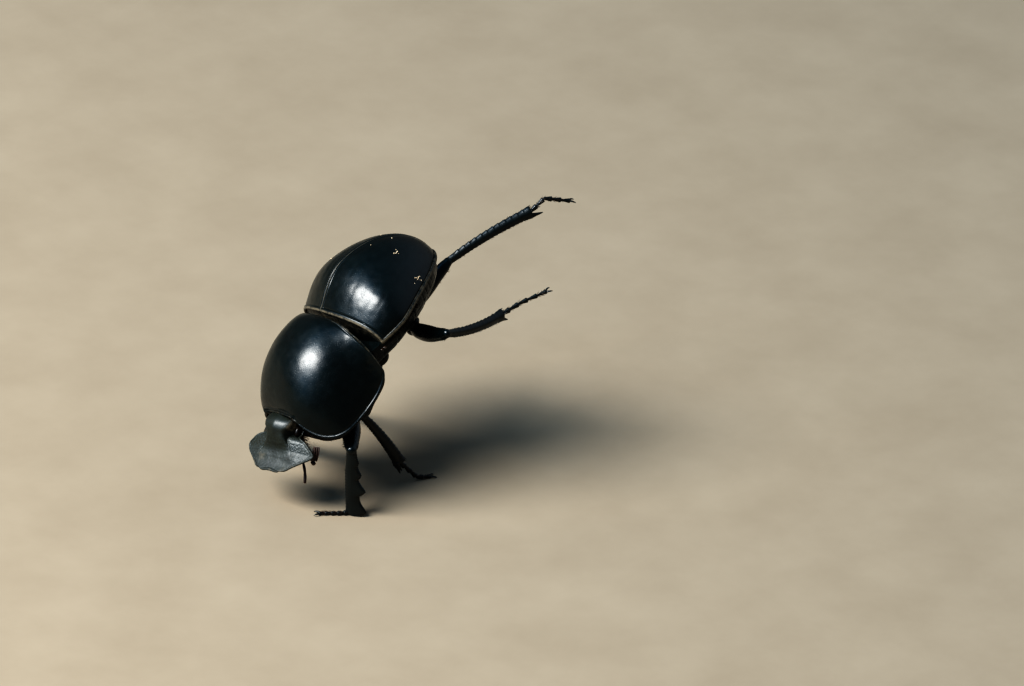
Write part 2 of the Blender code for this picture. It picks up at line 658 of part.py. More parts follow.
def build():
    clear_scene()
    root = empty("beetle", Matrix())
    stance = Matrix.Rotation(TRUNK_PITCH, 4, "X") @ Matrix.Rotation(TRUNK_ROLL, 4, "Y")
    trunk = empty("trunk_frame", Matrix.Translation((0, 0, TRUNK_HEIGHT * MM)) @ stance, root)
    bpy.context.view_layer.update()

    new_object("elytron_left", elytron(1), trunk)
    new_object("elytron_right", elytron(-1), trunk)
    breast = new_object("pterothorax", belly(THORAX_FRONT, THORAX_REAR, 9, (0.9, 1.0)), trunk)
    abdomen = new_object("abdomen", belly(THORAX_REAR - GAP, ABDOMEN_REAR, 6), trunk)
    tail = new_object("pygidium", belly(ABDOMEN_REAR - GAP, PYGIDIUM_REAR, 5, (1.0, 0.75)), trunk)
    new_object("pronotum", pronotum(), trunk)
    sternum = new_object("prosternum", prosternum(), trunk)

    turn = (Matrix.Rotation(HEAD_YAW, 4, "Z") @ Matrix.Rotation(HEAD_PITCH, 4, "X")
            @ Matrix.Rotation(HEAD_ROLL, 4, "Y"))
    left, forward, up = HEAD_AT
    skull_frame = empty("head_frame", Matrix.Translation(Vector((left, -forward, up)) * MM) @ turn, trunk)
    skull = new_object("head", head(), skull_frame)
    combine(skull, cutter("room_pronotum", pronotum(GAP), trunk))
    sternum_room = cutter("room_prosternum", prosternum(GAP), trunk)
    combine(skull, sternum_room)
    head_room = cutter("room_head", head(GAP), skull_frame)
    mouth = new_object("mouthparts", mouthparts(), skull_frame)
    combine(mouth, head_room)
    combine(mouth, sternum_room)
    mouth_room = cutter("room_mouth", mouthparts(GAP), skull_frame)
    for side, word in ((1, "left"), (-1, "right")):
        new_object(f"eye_{word}", eye(side), skull_frame, (0.02, 0.014, 0.01), 0.15)
        combine(skull, cutter(f"room_eye_{word}", eye(side, GAP), skull_frame))
        feeler = new_object(f"antenna_{word}", antenna(side), skull_frame, BROWN, 0.4)
        combine(feeler, head_room)
        new_object(f"antenna_club_{word}", club(side), skull_frame, BROWN, 0.6)
        feeding = new_object(f"palp_{word}", palp(side), skull_frame, BROWN, 0.4)
        combine(feeding, mouth_room)

    bodies = {"fore": (sternum,), "mid": (sternum, breast), "hind": (breast, abdomen, tail)}
    for name, spec in LEGS.items():
        room = build_leg(name, spec, trunk, root)
        for piece in bodies[name.split("_")[0]]:
            combine(piece, room)
    centre_on_box(root)


build()
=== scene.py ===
"""Looks of the flightless dung beetle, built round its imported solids.

Shapes are drawn in millimetres, in the frames that the solids use: the trunk's frame (x to the
beetle's left, y to its tail, z to its back, origin on the midline at the base of the elytra), the
head's frame of the same kind between the eyes, and for the legs the floor under the elytral base.
"Forward" is against y. add_piece() turns them into metres in the shared frame.
"""

from functools import reduce
from math import cos, hypot, pi, radians, sin, sqrt

import bmesh
import bpy
import numpy as np
from mathutils import Matrix, Quaternion, Vector


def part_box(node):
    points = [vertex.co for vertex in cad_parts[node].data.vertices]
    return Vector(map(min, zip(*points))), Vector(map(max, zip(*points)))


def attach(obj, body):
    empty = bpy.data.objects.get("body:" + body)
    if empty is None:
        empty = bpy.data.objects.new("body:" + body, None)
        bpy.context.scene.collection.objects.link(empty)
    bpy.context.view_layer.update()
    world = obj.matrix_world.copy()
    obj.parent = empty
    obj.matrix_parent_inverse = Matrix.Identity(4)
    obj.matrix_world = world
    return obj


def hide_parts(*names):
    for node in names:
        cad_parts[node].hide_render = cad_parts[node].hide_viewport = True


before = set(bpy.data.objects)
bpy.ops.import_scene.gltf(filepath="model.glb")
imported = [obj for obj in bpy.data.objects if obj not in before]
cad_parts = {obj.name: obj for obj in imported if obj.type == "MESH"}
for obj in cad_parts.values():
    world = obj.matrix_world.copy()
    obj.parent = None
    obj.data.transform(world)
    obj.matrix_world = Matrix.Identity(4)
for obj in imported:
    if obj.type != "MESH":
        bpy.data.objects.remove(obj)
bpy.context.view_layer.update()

MM = 0.001
SIDES = {"left": 1, "right": -1}

# Stance of the trunk and the head
TRUNK_HEIGHT = 20.5
TRUNK_PITCH, TRUNK_ROLL = radians(27.8), radians(-18.3)
HEAD_AT = (0.35, -15.4, -3.3)          # in the trunk's frame
HEAD_YAW, HEAD_PITCH, HEAD_ROLL = radians(6.5), radians(26.9), radians(14.5)

# Elytra
ELYTRA_LENGTH, ELYTRA_HALF_WIDTH, ELYTRA_HEIGHT = 17.8, 10.8, 8.35
ELYTRA_WIDEST, ELYTRA_HIGHEST = 0.22, 0.39
WIDEST_ROUND = 0.08
BASE_WIDTH_SHARE, BASE_HEIGHT_SHARE = 0.93, 0.62
BASE_HOLLOW = 1.4
MARGIN_RISE = 0.55
SUTURE_HALF_GAP = 0.02
ELYTRON_MESH = (190, 230)
ELYTRON_EDGE, ELYTRON_ROLL = 0.012, 0.16       # radii of its lip, at the suture and where it is rolled
STRIAE, STRIA_DEPTH, STRIA_HALF = 8, 0.022, 0.34
ELYTRON_WAVES = ((0.010, 3.0, 5), (0.004, 1.1, 6))     # height, size, seed
# beads and valleys: the edge that they follow, height or depth, distance from it, half width
ELYTRON_BEADS = (("margin", 0.16, 0.22, 0.28), ("base", 0.12, 0.22, 0.28))
SUTURE_BEAD = (("suture", 0.05, 0.3, 0.22),)
ELYTRON_VALLEYS = (("margin", 0.06, 0.5, 0.13), ("base", 0.05, 0.5, 0.12), ("suture", 0.08, 0.0, 0.06))

# Lips and beads
LIP = 8                        # lines of mesh round a lip
LIP_TURN = 0.9 * pi
LIP_BLEND = 0.3                # length over which a lip turns round a corner
BEAD_START = 0.02              # height from which a bead hides the relief under it

# Pronotum: corners as left, forward, up; tops as forward, up
REAR_CORNER, SIDE_LOW, FRONT_CORNER = (10.25, 1.1, -2.7), (9.05, 9.3, -6.3), (4.4, 13.6, -1.95)
REAR_TOP, PEAK_TOP, FRONT_TOP = (0.7, 4.75), (2.8, 5.95), (13.4, -1.45)
PRONOTUM_FULLNESS = 2.55
PRONOTUM_MESH = (160, 230)
PRONOTUM_LIP = 0.2
PRONOTUM_WAVES = ((0.010, 3.2, 7), (0.004, 1.2, 8))
PRONOTUM_BEADS = (("side", 0.13, 0.12, 0.2), ("rear", 0.10, 0.12, 0.2), ("front", 0.08, 0.08, 0.16),
                  ("front", 0.05, 0.5, 0.13))
PRONOTUM_VALLEYS = (("side", 0.06, 0.5, 0.13), ("rear", 0.05, 0.46, 0.12), ("front", 0.07, 0.32, 0.06),
                    ("front", 0.05, 0.76, 0.12))
PIT_AT, PIT_DEPTH = (9.7, -2.2, -2.0), 0.09    # the rough hollow on each side
RIM = 0.35
UNDER_ARCH = 2.2

# Underside
BELLY_INSET, BELLY_DEPTH, BELLY_FULLNESS = 0.7, 4.5, 1.9
BELLY_POINTS = 90
THORAX_FRONT, THORAX_REAR = 0.3, -9.4
ABDOMEN_REAR, PYGIDIUM_REAR = -14.6, -17.2
THORAX_SEAMS = (-0.9, -3.6, -7.9)
ABDOMEN_SEAMS = (-10.6, -11.7, -12.7, -13.6)
PLATE_GAP = 0.03
STERNUM_DEPTH, STERNUM_INSET = 7.0, 1.2
STERNUM_MESH = (70, 70)

# Head
CHEEK_FORWARD = 1.75
LOBE_SIDE, LOBE_FORWARD = 1.95, 5.15
NOTCH = 0.2
HEAD_EDGE = 0.5
HEAD_MESH = (260, 220)
HEAD_LIP = 0.14
# forward, half width, edge height, crown height, depth below the edge
HEAD_STATIONS = (
    (-3.3, 2.6, -1.1, 0.0, 0.9), (-2.3, 2.95, -1.15, 0.95, 1.2), (-1.5, 3.0, -1.3, 1.4, 1.5),
    (-0.8, 2.98, -1.35, 1.42, 1.6), (-0.35, 2.95, -1.12, 1.28, 1.8), (0.0, 3.4, -0.95, 1.06, 2.0),
    (0.4, 4.2, -0.98, 0.76, 2.1), (1.1, 5.2, -1.3, 0.15, 1.9), (1.65, 5.76, -1.58, -0.32, 1.75),
    (1.9, 5.85, -1.66, -0.48, 1.6), (2.2, 5.65, -1.6, -0.6, 1.45), (2.83, 5.03, -1.33, -0.72, 1.1),
    (3.6, 3.98, -1.03, -0.78, 0.75), (4.3, 3.1, -0.8, -0.74, 0.4), (4.8, 2.5, -0.65, -0.62, 0.15),
    (5.15, 1.75, -0.55, -0.5, 0.0))
# forward, half width of the crown and then of the clypeus; beside it lie the eye and the cheek
CROWN_SIDES = ((-3.3, 2.6), (-2.3, 2.45), (-1.4, 2.42), (-0.7, 2.12), (-0.1, 1.74), (0.5, 1.82),
               (1.1, 2.1), (1.75, 2.43), (2.7, 2.9), (5.2, 4.2))
CHEEK_START, CHEEK_REAR_SLOPE = (2.14, -0.46), 0.5     # where the cheek's rear margin leaves the eye
CHEEK_FALL, CROWN_ROOF = 0.3, 0.22     # slopes of the cheeks and of the crown, down from the middle
EYE_AT, EYE_RADII, EYE_LEAN = (2.5, 1.0, -0.85), (0.42, 0.75, 0.4), (0.85, 0.53)
EYE_HOLLOW = 0.42
ANTENNA_PATH = ((2.3, 0.05, -1.85), (3.6, -1.4, -3.9), (4.1, -2.3, -4.1), (4.5, -2.3, -3.8))
CLUB_END = (4.75, -0.4, -3.1)
PALP_PATH = ((1.3, -1.2, -3.6), (3.5, -2.9, -3.7), (3.6, -5.1, -4.3))
PALP_SEGMENTS = ((0.0, 0.14, 0.14), (0.15, 0.42, 0.18), (0.43, 0.68, 0.19), (0.69, 1.0, 0.2))
# the single lobes under the mouth: centre and radii; the paired ones: centre, lean and radii
LABIUM = (((0, -0.6, -3.5), (2.3, 1.9, 1.15)), ((0, 0.3, -4.0), (1.3, 1.1, 0.75)))
MANDIBLES = (((1.35, -1.2, -3.4), 0.25, (1.5, 0.8, 0.8)), ((0.75, -2.3, -3.2), 0.4, (0.9, 0.5, 0.45)))
LABIAL_PALP = ((0.7, -0.6, -4.5), (1.3, -1.5, -4.9), (1.2, -2.5, -4.7))

# Legs; a hip is given as left, forward and up in the trunk's frame
FEMUR_PROFILE = ((0.0, 0.62, 0.6), (0.14, 0.98, 0.85), (0.45, 1.22, 0.95), (0.8, 0.95, 0.75),
                 (1.0, 0.8, 0.62))
TIBIA_HALF = {"mid": (0.5, 0.84), "hind": (0.54, 0.74)}
TIBIA_THICK = 0.36
SPURS = {"mid": ((0.0, 1.5), (0.35, 1.1)), "hind": ((0.0, 1.5),)}      # sideways shift, length
TIBIA_END_SPINES = 9
FORE_TIBIA_INNER = 1.0
FORE_TEETH = ((0.18, 0.12, 0.2), (0.38, 0.16, 0.5), (0.64, 0.22, 0.95), (0.96, 0.22, 0.85))
TARSUS_JOINTS = 5
TARSUS_HALF = (0.27, 0.37)
CLAW_LENGTH = 0.9
LEGS = {
    "fore_left": dict(hip=(2.6, 6.0, -7.5), knee=(10.4, -6.7, 10.0), ankle=(10.5, -6.6, 0.3),
                      foot=((9.6, -7.7, 0.24), (7.6, -10.1, 0.22)), wide=(0.85, 0.52, 0.0), size=1.1),
    "fore_right": dict(hip=(-2.6, 6.0, -7.5), knee=(-6.2, -4.0, 6.6), ankle=(-13.4, -2.6, 0.3),
                       foot=((-13.0, -3.9, 0.24), (-12.2, -4.9, 0.22)), wide=(-0.7, 0.5, 0.5), size=1.1),
    "mid_left": dict(hip=(3.0, -1.4, -5.1), knee=(6.1, -1.2, 11.5), ankle=(8.0, 3.6, 3.6),
                     foot=((8.6, 6.2, 0.6), (9.0, 8.2, 0.24)), wide=(0.3, 1.0, 0.6), size=0.95,
                     bow=0.25),
    "mid_right": dict(hip=(-3.0, -1.4, -5.1), knee=(-7.5, 3.6, 10.5), ankle=(-12.4, 7.6, 3.6),
                      foot=((-13.5, 9.7, 0.6), (-14.2, 11.5, 0.24)), wide=(-0.3, 1.0, 0.6), size=0.95,
                      bow=0.25),
    "hind_left": dict(hip=(1.6, -8.2, -5.1), knee=(12.6, 8.2, 23.7), ankle=(9.2, 20.5, 21.0),
                      foot=((9.6, 23.6, 22.0), (10.6, 27.3, 22.9)), wide=(-0.3, 0.3, 0.9), size=0.95,
                      bow=-0.55, sag=0.5),
    "hind_right": dict(hip=(-1.6, -8.2, -5.1), knee=(-0.5, 19.1, 25.7), ankle=(3.2, 30.6, 31.0),
                       foot=((3.2, 33.1, 32.3), (4.6, 36.4, 31.4)), wide=(-0.5, -0.35, 0.8), size=0.95,
                       bow=0.35),
}
COXA_RADII = {"fore": (2.1, 1.5, 1.4), "mid": (1.9, 1.4, 1.0), "hind": (2.1, 1.2, 0.9)}
COXA_OFFSET = {"fore": (0.9, 0.9), "mid": (0.8, 0.8), "hind": (1.5, 0.95)}
COXA_TILT = {"fore": 0.0, "mid": radians(14), "hind": radians(16)}

# Bristles and sand
HAIR_SIDES = 4
HAIR_RINGS = ((-0.08, 1.0), (0.35, 0.8), (0.7, 0.5))   # share of the length, share of the radius
HAIR_POINTS = HAIR_SIDES * len(HAIR_RINGS) + 1
HAIR_PATCH = 0.003             # side of a hair's place in the bake map
TIBIA_HAIRS, FOOT_HAIRS, FEMUR_HAIRS, RIM_HAIRS, BELLY_HAIRS, MOUTH_HAIRS, CHEEK_HAIRS = (
    110, 70, 60, 220, 160, 320, 260)
# where grains cling: wing case, share of its length, share from suture to margin, spread, grains
SAND_PATCHES = (("left", 0.62, 0.86, 0.032, 11), ("left", 0.675, 0.44, 0.022, 7),
                ("left", 0.5, 0.5, 0.3, 3), ("right", 0.5, 0.4, 0.3, 3))
SAND_SIZE = (0.07, 0.14)

# Colours
# dust tone; on the lit beads of the wing cases and on the brow it also stands in for a painted glint
DUST_AND_GLINT = (0.14, 0.116, 0.080)
GRANULE = (0.028, 0.034, 0.031)

# Camera: the picture's middle is given over the floor under the elytral base
VIEW_AZIMUTH, VIEW_ELEVATION = radians(50.5), radians(28)
VIEW_CENTRE = (14.94, 17.68, 20.0)
VIEW_DISTANCE = 2.0            # metres
VIEW_WIDTH = 138.8             # millimetres across the picture at the beetle
SENSOR = 36.0
FLOOR_HALF = 8.0               # metres

# Lights
KEY_WAY = Vector((-0.20, -0.66, 0.72)).normalized()
KEY_DISTANCE, KEY_SIZE, KEY_WATTS = 0.8, (0.70, 0.27), 12.5
KEY_TURN = radians(33)         # the lamp's long way, so that it looks round in the curved shells
BACK_WAY = Vector((0.25, 0.80, 0.55)).normalized()
# direction, sharpness, strength, colour
GLOWS = ((KEY_WAY, 8.0, 2.6, (0.20, 0.56, 0.95)), (BACK_WAY, 4.0, 0.5, (0.70, 0.85, 1.0)))
WORLD_STRENGTH = 0.12


# ------ frames

STANCE = np.array(Matrix.Translation((0, 0, TRUNK_HEIGHT)) @ Matrix.Rotation(TRUNK_PITCH, 4, "X")
                  @ Matrix.Rotation(TRUNK_ROLL, 4, "Y"))


def hip_of(name):
    """Hip joint over the floor under the elytral base."""
    left, forward, up = LEGS[name]["hip"]
    return STANCE[:3, :3] @ np.array((left, -forward, up)) + STANCE[:3, 3]


def coxa_place(name):
    """Centre and the three axes of a coxa, over the floor under the elytral base."""
    pair, word = name.split("_")
    side = SIDES[word]
    tilt = COXA_TILT[pair]
    outward, inward = COXA_OFFSET[pair]
    offset = STANCE[:3, :3] @ np.array((side * outward, 0.0, inward))
    axes = ((side * cos(tilt), 0.0, sin(tilt)), (0.0, 1.0, 0.0), (-sin(tilt), 0.0, side * cos(tilt)))
    return hip_of(name) + offset, [STANCE[:3, :3] @ np.array(axis) for axis in axes]


def root_place(name="mid_left"):
    """Frame of the floor point under the elytral base: the box of an uncut coxa tells where it is."""
    low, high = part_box(f"coxa_{name}")
    middle = np.array((low + high) / 2) / MM
    place = np.eye(4)
    place[:2, 3] = (middle - coxa_place(name)[0])[:2]
    return place


ROOT = root_place()
TRUNK = ROOT @ STANCE
HEAD = TRUNK @ np.array(Matrix.Translation(HEAD_AT) @ Matrix.Rotation(HEAD_YAW, 4, "Z")
                        @ Matrix.Rotation(HEAD_PITCH, 4, "X") @ Matrix.Rotation(HEAD_ROLL, 4, "Y"))


# ------ numbers and curves

def steps(count):
    """Evenly spread shares from 0 to 1."""
    return np.linspace(0, 1, count)


def crowded(t):
    """Values from -1 to 1, drawn together at both ends."""
    return 1.5 * t - 0.5 * t ** 3


def highest(*parts):
    """Largest value at each point."""
    return reduce(np.maximum, parts)


def power(value, exponent):
    """Signed power, for superellipses."""
    return np.sign(value) * np.abs(value) ** exponent


def smooth(value, low, high):
    """Smooth step from 0 at low to 1 at high."""
    t = np.clip((value - low) / (high - low), 0, 1)
    return t * t * (3 - 2 * t)


def hump(distance, centre, half_width):
    """Round ridge, 1 along its middle."""
    return np.sqrt(np.clip(1 - ((distance - centre) / half_width) ** 2, 0, 1))


def bell(distance, centre, half_width):
    """Soft ridge, 1 along its middle."""
    return np.exp(-((distance - centre) / half_width) ** 2)


def ripple(points, size, seed, waves=14):
    """Waviness of about the given size, mostly between -1 and 1."""
    rng = np.random.default_rng(seed)
    total = np.zeros(points.shape[:-1])
    for _ in range(waves):
        way = rng.normal(size=3)
        way *= 2 * pi / (size * np.linalg.norm(way))
        total += np.sin(points @ way + rng.uniform(0, 2 * pi))
    return total / sqrt(waves)


def waves_on(points, table):
    """Sum of the ripples of a table."""
    return sum(height * ripple(points, size, seed) for height, size, seed in table)


def follow(profile, table, edges):
    """Highest of the profiles (hump or bell) of a table at distances from the named edges."""
    return highest(*(height * profile(edges[edge], at, half) for edge, height, at, half in table))


def curve(table, shares):
    """Smooth curve through the rows (share, value, ...) of a table."""
    table = np.array(table, float)
    shares = np.atleast_1d(shares)
    slopes = np.gradient(table[:, 1:], table[:, 0], axis=0)
    index = np.clip(np.searchsorted(table[:, 0], shares, side="right") - 1, 0, len(table) - 2)
    width = (table[index + 1, 0] - table[index, 0])[:, None]
    t = (shares[:, None] - table[index, 0][:, None]) / width
    return ((1 + 2 * t) * (1 - t) ** 2 * table[index, 1:] + t * (1 - t) ** 2 * width * slopes[index]
            + t * t * (3 - 2 * t) * table[index + 1, 1:] - t * t * (1 - t) * width * slopes[index + 1])


def bent(start, bend, end, shares):
    """Points on a quadratic curve with the given bend."""
    s = np.atleast_1d(shares)[:, None]
    return np.array(start) * (1 - s) ** 2 + np.array(bend) * 2 * s * (1 - s) + np.array(end) * s ** 2


def polyline(points, shares):
    """Points at shares of the length of a bent line."""
    points = np.array(points, float)
    reach = np.concatenate(([0.0], np.cumsum(np.linalg.norm(np.diff(points, axis=0), axis=1))))
    at = np.atleast_1d(shares) * reach[-1]
    return np.stack([np.interp(at, reach, points[:, k]) for k in range(3)], axis=1)


def unit(vector):
    """The vector at length 1."""
    vector = np.array(vector, float)
    return vector / np.linalg.norm(vector)


def unit_rows(vectors):
    """Each of the vectors at length 1."""
    return vectors / np.maximum(np.linalg.norm(vectors, axis=-1, keepdims=True), 1e-9)


def along(vectors, arms):
    """The vectors, all turned round if they point against the arms on the whole."""
    return vectors if (vectors * arms).sum() > 0 else -vectors


def mirrored(points, side):
    """Points of the left side, or the same on the right."""
    return [(side * x, y, z) for x, y, z in points]


# ------ meshes

def swept(places, line):
    """Grid with a row for each place, where line(place) gives x, y and z along it."""
    return np.array([np.stack(np.broadcast_arrays(*line(place)), axis=1) for place in places])


def grid_normals(grid):
    """Unit normals of a grid of points, pointing away from its middle."""
    normal = unit_rows(np.cross(np.gradient(grid, axis=0), np.gradient(grid, axis=1)))
    return along(normal, grid - grid.mean(axis=(0, 1)))


def from_edge(grid, axis, last=False):
    """Length over the surface from the first or last line of the grid to each point."""
    reach = np.cumsum(np.linalg.norm(np.diff(grid, axis=axis), axis=-1), axis=axis)
    reach = np.concatenate([np.zeros_like(np.take(reach, [0], axis=axis)), reach], axis=axis)
    return np.take(reach, [-1], axis=axis) - reach if last else reach


def bridge(verts, upper, lower):
    """Triangles between two rows of vertex numbers that run side by side."""
    def gap(a, b):
        inside = a < len(upper) and b < len(lower)
        return np.linalg.norm(verts[upper[a]] - verts[lower[b]]) if inside else np.inf

    faces = []
    i, j = 0, 0
    while i < len(upper) - 1 or j < len(lower) - 1:
        if gap(i + 1, j) <= gap(i, j + 1):
            faces.append((upper[i], upper[i + 1], lower[j]))
            i += 1
        else:
            faces.append((upper[i], lower[j + 1], lower[j]))
            j += 1
    return faces


def tube(rings, upper=0):
    """Closed mesh through rings of equal length.

    Its ends are closed like the solids' ends: by a fan, or from the first upper points of the ring
    across to the others.
    """
    rings = np.array(rings, float)
    rows, count, _ = rings.shape
    verts = rings.reshape(-1, 3)
    number = np.arange(rows * count).reshape(rows, count)
    after = np.roll(number, -1, axis=1)
    faces = np.stack([number[:-1], after[:-1], after[1:], number[1:]], axis=-1).reshape(-1, 4).tolist()
    for row in (0, rows - 1):
        ring = number[row].tolist()
        if upper:
            faces += bridge(verts, ring[:upper], ring[upper:][::-1])
        else:
            faces += [(a, b, len(verts)) for a, b in zip(ring, ring[1:] + ring[:1])]
            verts = np.vstack([verts, rings[row].mean(axis=0)])
    return verts, faces


def lip_frame(top, edge, way):
    """Points along the edge of a grid, their normals and outward directions, blended at corners."""
    points = top.reshape(-1, 3)[edge]
    arms = points - points.mean(axis=0)
    normals = grid_normals(top).reshape(-1, 3)[edge]
    tangent = np.roll(points, -2, axis=0) - np.roll(points, 2, axis=0)
    if way is not None:
        first = np.flatnonzero(edge < top.shape[1])
        normals[first] = along(unit_rows(np.cross(tangent[first], way)), arms[first])
    out = along(unit_rows(np.cross(tangent, normals)), arms)
    near = np.exp(-((points[:, None] - points[None]) ** 2).sum(axis=-1) / LIP_BLEND ** 2)
    normals = unit_rows(near @ normals)
    out = near @ out
    return points, normals, unit_rows(out - normals * (normals * out).sum(axis=1, keepdims=True))


def shell(top, under, radius, masks, way=None):
    """Closed mesh between two grids of the same size, with a half-round lip round the upper one.

    radius gives the lip's size at each point of the grid, and masks give values for it and the lip.
    way is where the lip of the first row points, if that is given.
    """
    number = np.arange(top[..., 0].size).reshape(top.shape[:2])
    quads = np.stack([number[:-1, :-1], number[:-1, 1:], number[1:, 1:], number[1:, :-1]], axis=-1)
    quads = quads.reshape(-1, 4)
    edge = np.concatenate([number[0], number[1:, -1], number[-1, -2::-1], number[-2:0:-1, 0]])
    points, normals, out = lip_frame(top, edge, way)
    size = radius.ravel()[edge][:, None]
    verts, source, rings = [top.reshape(-1, 3)], [number.ravel()], [edge]
    for step in range(1, LIP + 1):
        angle = LIP_TURN * step / LIP
        verts.append(points + size * (out * sin(angle) - normals * (1 - cos(angle))))
        source.append(edge)
        rings.append(number.size + (step - 1) * len(edge) + np.arange(len(edge)))
    lower = number.size + LIP * len(edge)
    rings.append(edge + lower)
    strips = [np.stack([first, np.roll(first, -1), np.roll(second, -1), second], axis=1)
              for first, second in zip(rings, rings[1:])]
    faces = np.concatenate([quads, quads[:, ::-1] + lower, *strips]).tolist()
    source = np.concatenate(source)
    return (np.concatenate([*verts, under.reshape(-1, 3)]), faces,
            {key: mask.ravel()[source] for key, mask in masks.items()})


def ellipsoid(centre, axes, radii, around=36, rows=20):
    """Ellipsoid on three unit axes, with its poles on the first."""
    a = np.linspace(0.02, pi - 0.02, rows)[:, None]
    b = np.linspace(0, 2 * pi, around, endpoint=False)[None, :]
    parts = (-np.cos(a) + 0 * b, np.sin(a) * np.cos(b), np.sin(a) * np.sin(b))
    return tube(np.array(centre, float) + sum(np.array(axis) * radius * part[..., None]
                                              for axis, radius, part in zip(axes, radii, parts)))


def limb(path, inner, outer, thick, wide, sides=28, fullness=2.2, blunt=0.6):
    """Solid round a path with half sizes at each point, and rounded ends."""
    path = np.array(path, float)
    count = len(path)
    inner, outer, thick = (np.broadcast_to(np.array(v, float), count) for v in (inner, outer, thick))
    ahead = np.gradient(path, axis=0)
    ahead /= np.linalg.norm(ahead, axis=1, keepdims=True)
    wide = np.array(wide, float)
    across = wide - ahead * (ahead @ wide)[:, None]
    across /= np.linalg.norm(across, axis=1, keepdims=True)
    normal = np.cross(ahead, across)
    a = 2 * pi * (np.arange(sides) + 0.5) / sides
    x, y = power(np.cos(a), 2 / fullness), power(np.sin(a), 2 / fullness)
    turns = np.linspace(0.15, 1, 5) * pi / 2
    rings = []
    for i in range(count):
        slices = [(0.0, 1.0)]
        if i == 0:
            slices = [(-blunt * thick[i] * cos(t), sin(t)) for t in turns]
        if i == count - 1:
            slices = [(blunt * thick[i] * cos(t), sin(t)) for t in turns[::-1]]
        for shift, scale in slices:
            half = np.where(x > 0, outer[i], inner[i]) * scale
            rings.append(path[i] + ahead[i] * shift + np.outer(x * half, across[i])
                         + np.outer(y * thick[i] * scale, normal[i]))
    return tube(rings)


def rod(path, radius, wide, **settings):
    """Round solid along a path."""
    return limb(path, radius, radius, radius, wide, **settings)


def thorn(root, bend, tip, base, taper, point, wide, rings=16, sides=12, flat=1.0):
    """Bent spike that thins out from its base to a small point."""
    t = steps(rings)
    radius = base * (1 - t) ** taper + point
    return limb(bent(root, bend, tip, t), radius, radius, radius * flat, wide, sides=sides)


def joined(shapes):
    """One mesh of several."""
    verts, faces, count = [], [], 0
    for points, cells in shapes:
        verts.append(points)
        faces += [tuple(count + v for v in cell) for cell in cells]
        count += len(points)
    return np.concatenate(verts), faces


def on_floor(shape):
    """The same shape, with no point under the floor."""
    verts, faces = shape
    verts[:, 2] = np.maximum(verts[:, 2], 0.0)
    return verts, faces


def face_outwards(mesh):
    """Turn all faces outward."""
    work = bmesh.new()
    work.from_mesh(mesh)
    bmesh.ops.recalc_face_normals(work, faces=work.faces)
    work.to_mesh(mesh)
    work.free()


def add_piece(name, shape, matrix, material, slot, nodes=(), sharp=45):
    """Mesh object of a shape (verts, faces, maybe masks), in place of the named solids."""
    verts, faces, *masks = shape
    placed = (verts @ matrix[:3, :3].T + matrix[:3, 3]) * MM
    mesh = bpy.data.meshes.new(name)
    mesh.from_pydata(placed.tolist(), [], faces)
    for key, values in (masks[0] if masks else {}).items():
        full = np.zeros(len(placed), np.float32)
        full[:len(values)] = values
        mesh.attributes.new(key, "FLOAT", "POINT").data.foreach_set("value", full)
    mesh.validate()
    face_outwards(mesh)
    mesh.shade_smooth()
    mesh.set_sharp_from_angle(angle=radians(sharp))
    mesh.materials.append(material)
    piece = bpy.data.objects.new(name, mesh)
    bpy.context.scene.collection.objects.link(piece)
    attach(piece, "root")
    if nodes:
        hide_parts(*nodes)
    return piece


# ------ wing cases

def elytra_section(share):
    """Half width, height and margin height of the wing cases at a share of their length."""
    if share < ELYTRA_WIDEST:
        half = BASE_WIDTH_SHARE + (1 - BASE_WIDTH_SHARE) * sin(pi / 2 * share / ELYTRA_WIDEST)
    else:
        past = (share - ELYTRA_WIDEST) / (1 - ELYTRA_WIDEST)
        past = (hypot(past, WIDEST_ROUND) - WIDEST_ROUND) / (hypot(1, WIDEST_ROUND) - WIDEST_ROUND)
        half = sqrt(max(1 - past, 0.0))
    if share < ELYTRA_HIGHEST:
        high = BASE_HEIGHT_SHARE + (1 - BASE_HEIGHT_SHARE) * sin(pi / 2 * share / ELYTRA_HIGHEST)
    else:
        high = sqrt(max(1 - ((share - ELYTRA_HIGHEST) / (1 - ELYTRA_HIGHEST)) ** 2, 0.0))
    return half * ELYTRA_HALF_WIDTH, high * ELYTRA_HEIGHT, MARGIN_RISE * sin(pi * share)


def elytron_surface(side):
    """Bare wing case from the suture to the margin, with the share and the angle of its lines."""
    rows, columns = ELYTRON_MESH
    shares = (1 - np.cos(pi * steps(rows))) / 2 * 0.9995
    turn = pi / 2 * (1 - np.cos(pi * steps(columns))) / 2

    def line(share):
        half, high, margin = elytra_section(share)
        x = SUTURE_HALF_GAP + (max(half, 0.1) - SUTURE_HALF_GAP) * np.sin(turn)
        hollow = BASE_HOLLOW * (x / ELYTRA_HALF_WIDTH) ** 2 * (1 - share)
        return side * x, ELYTRA_LENGTH * share + hollow, margin + (high - margin) * np.cos(turn)

    return swept(shares, line), shares, turn


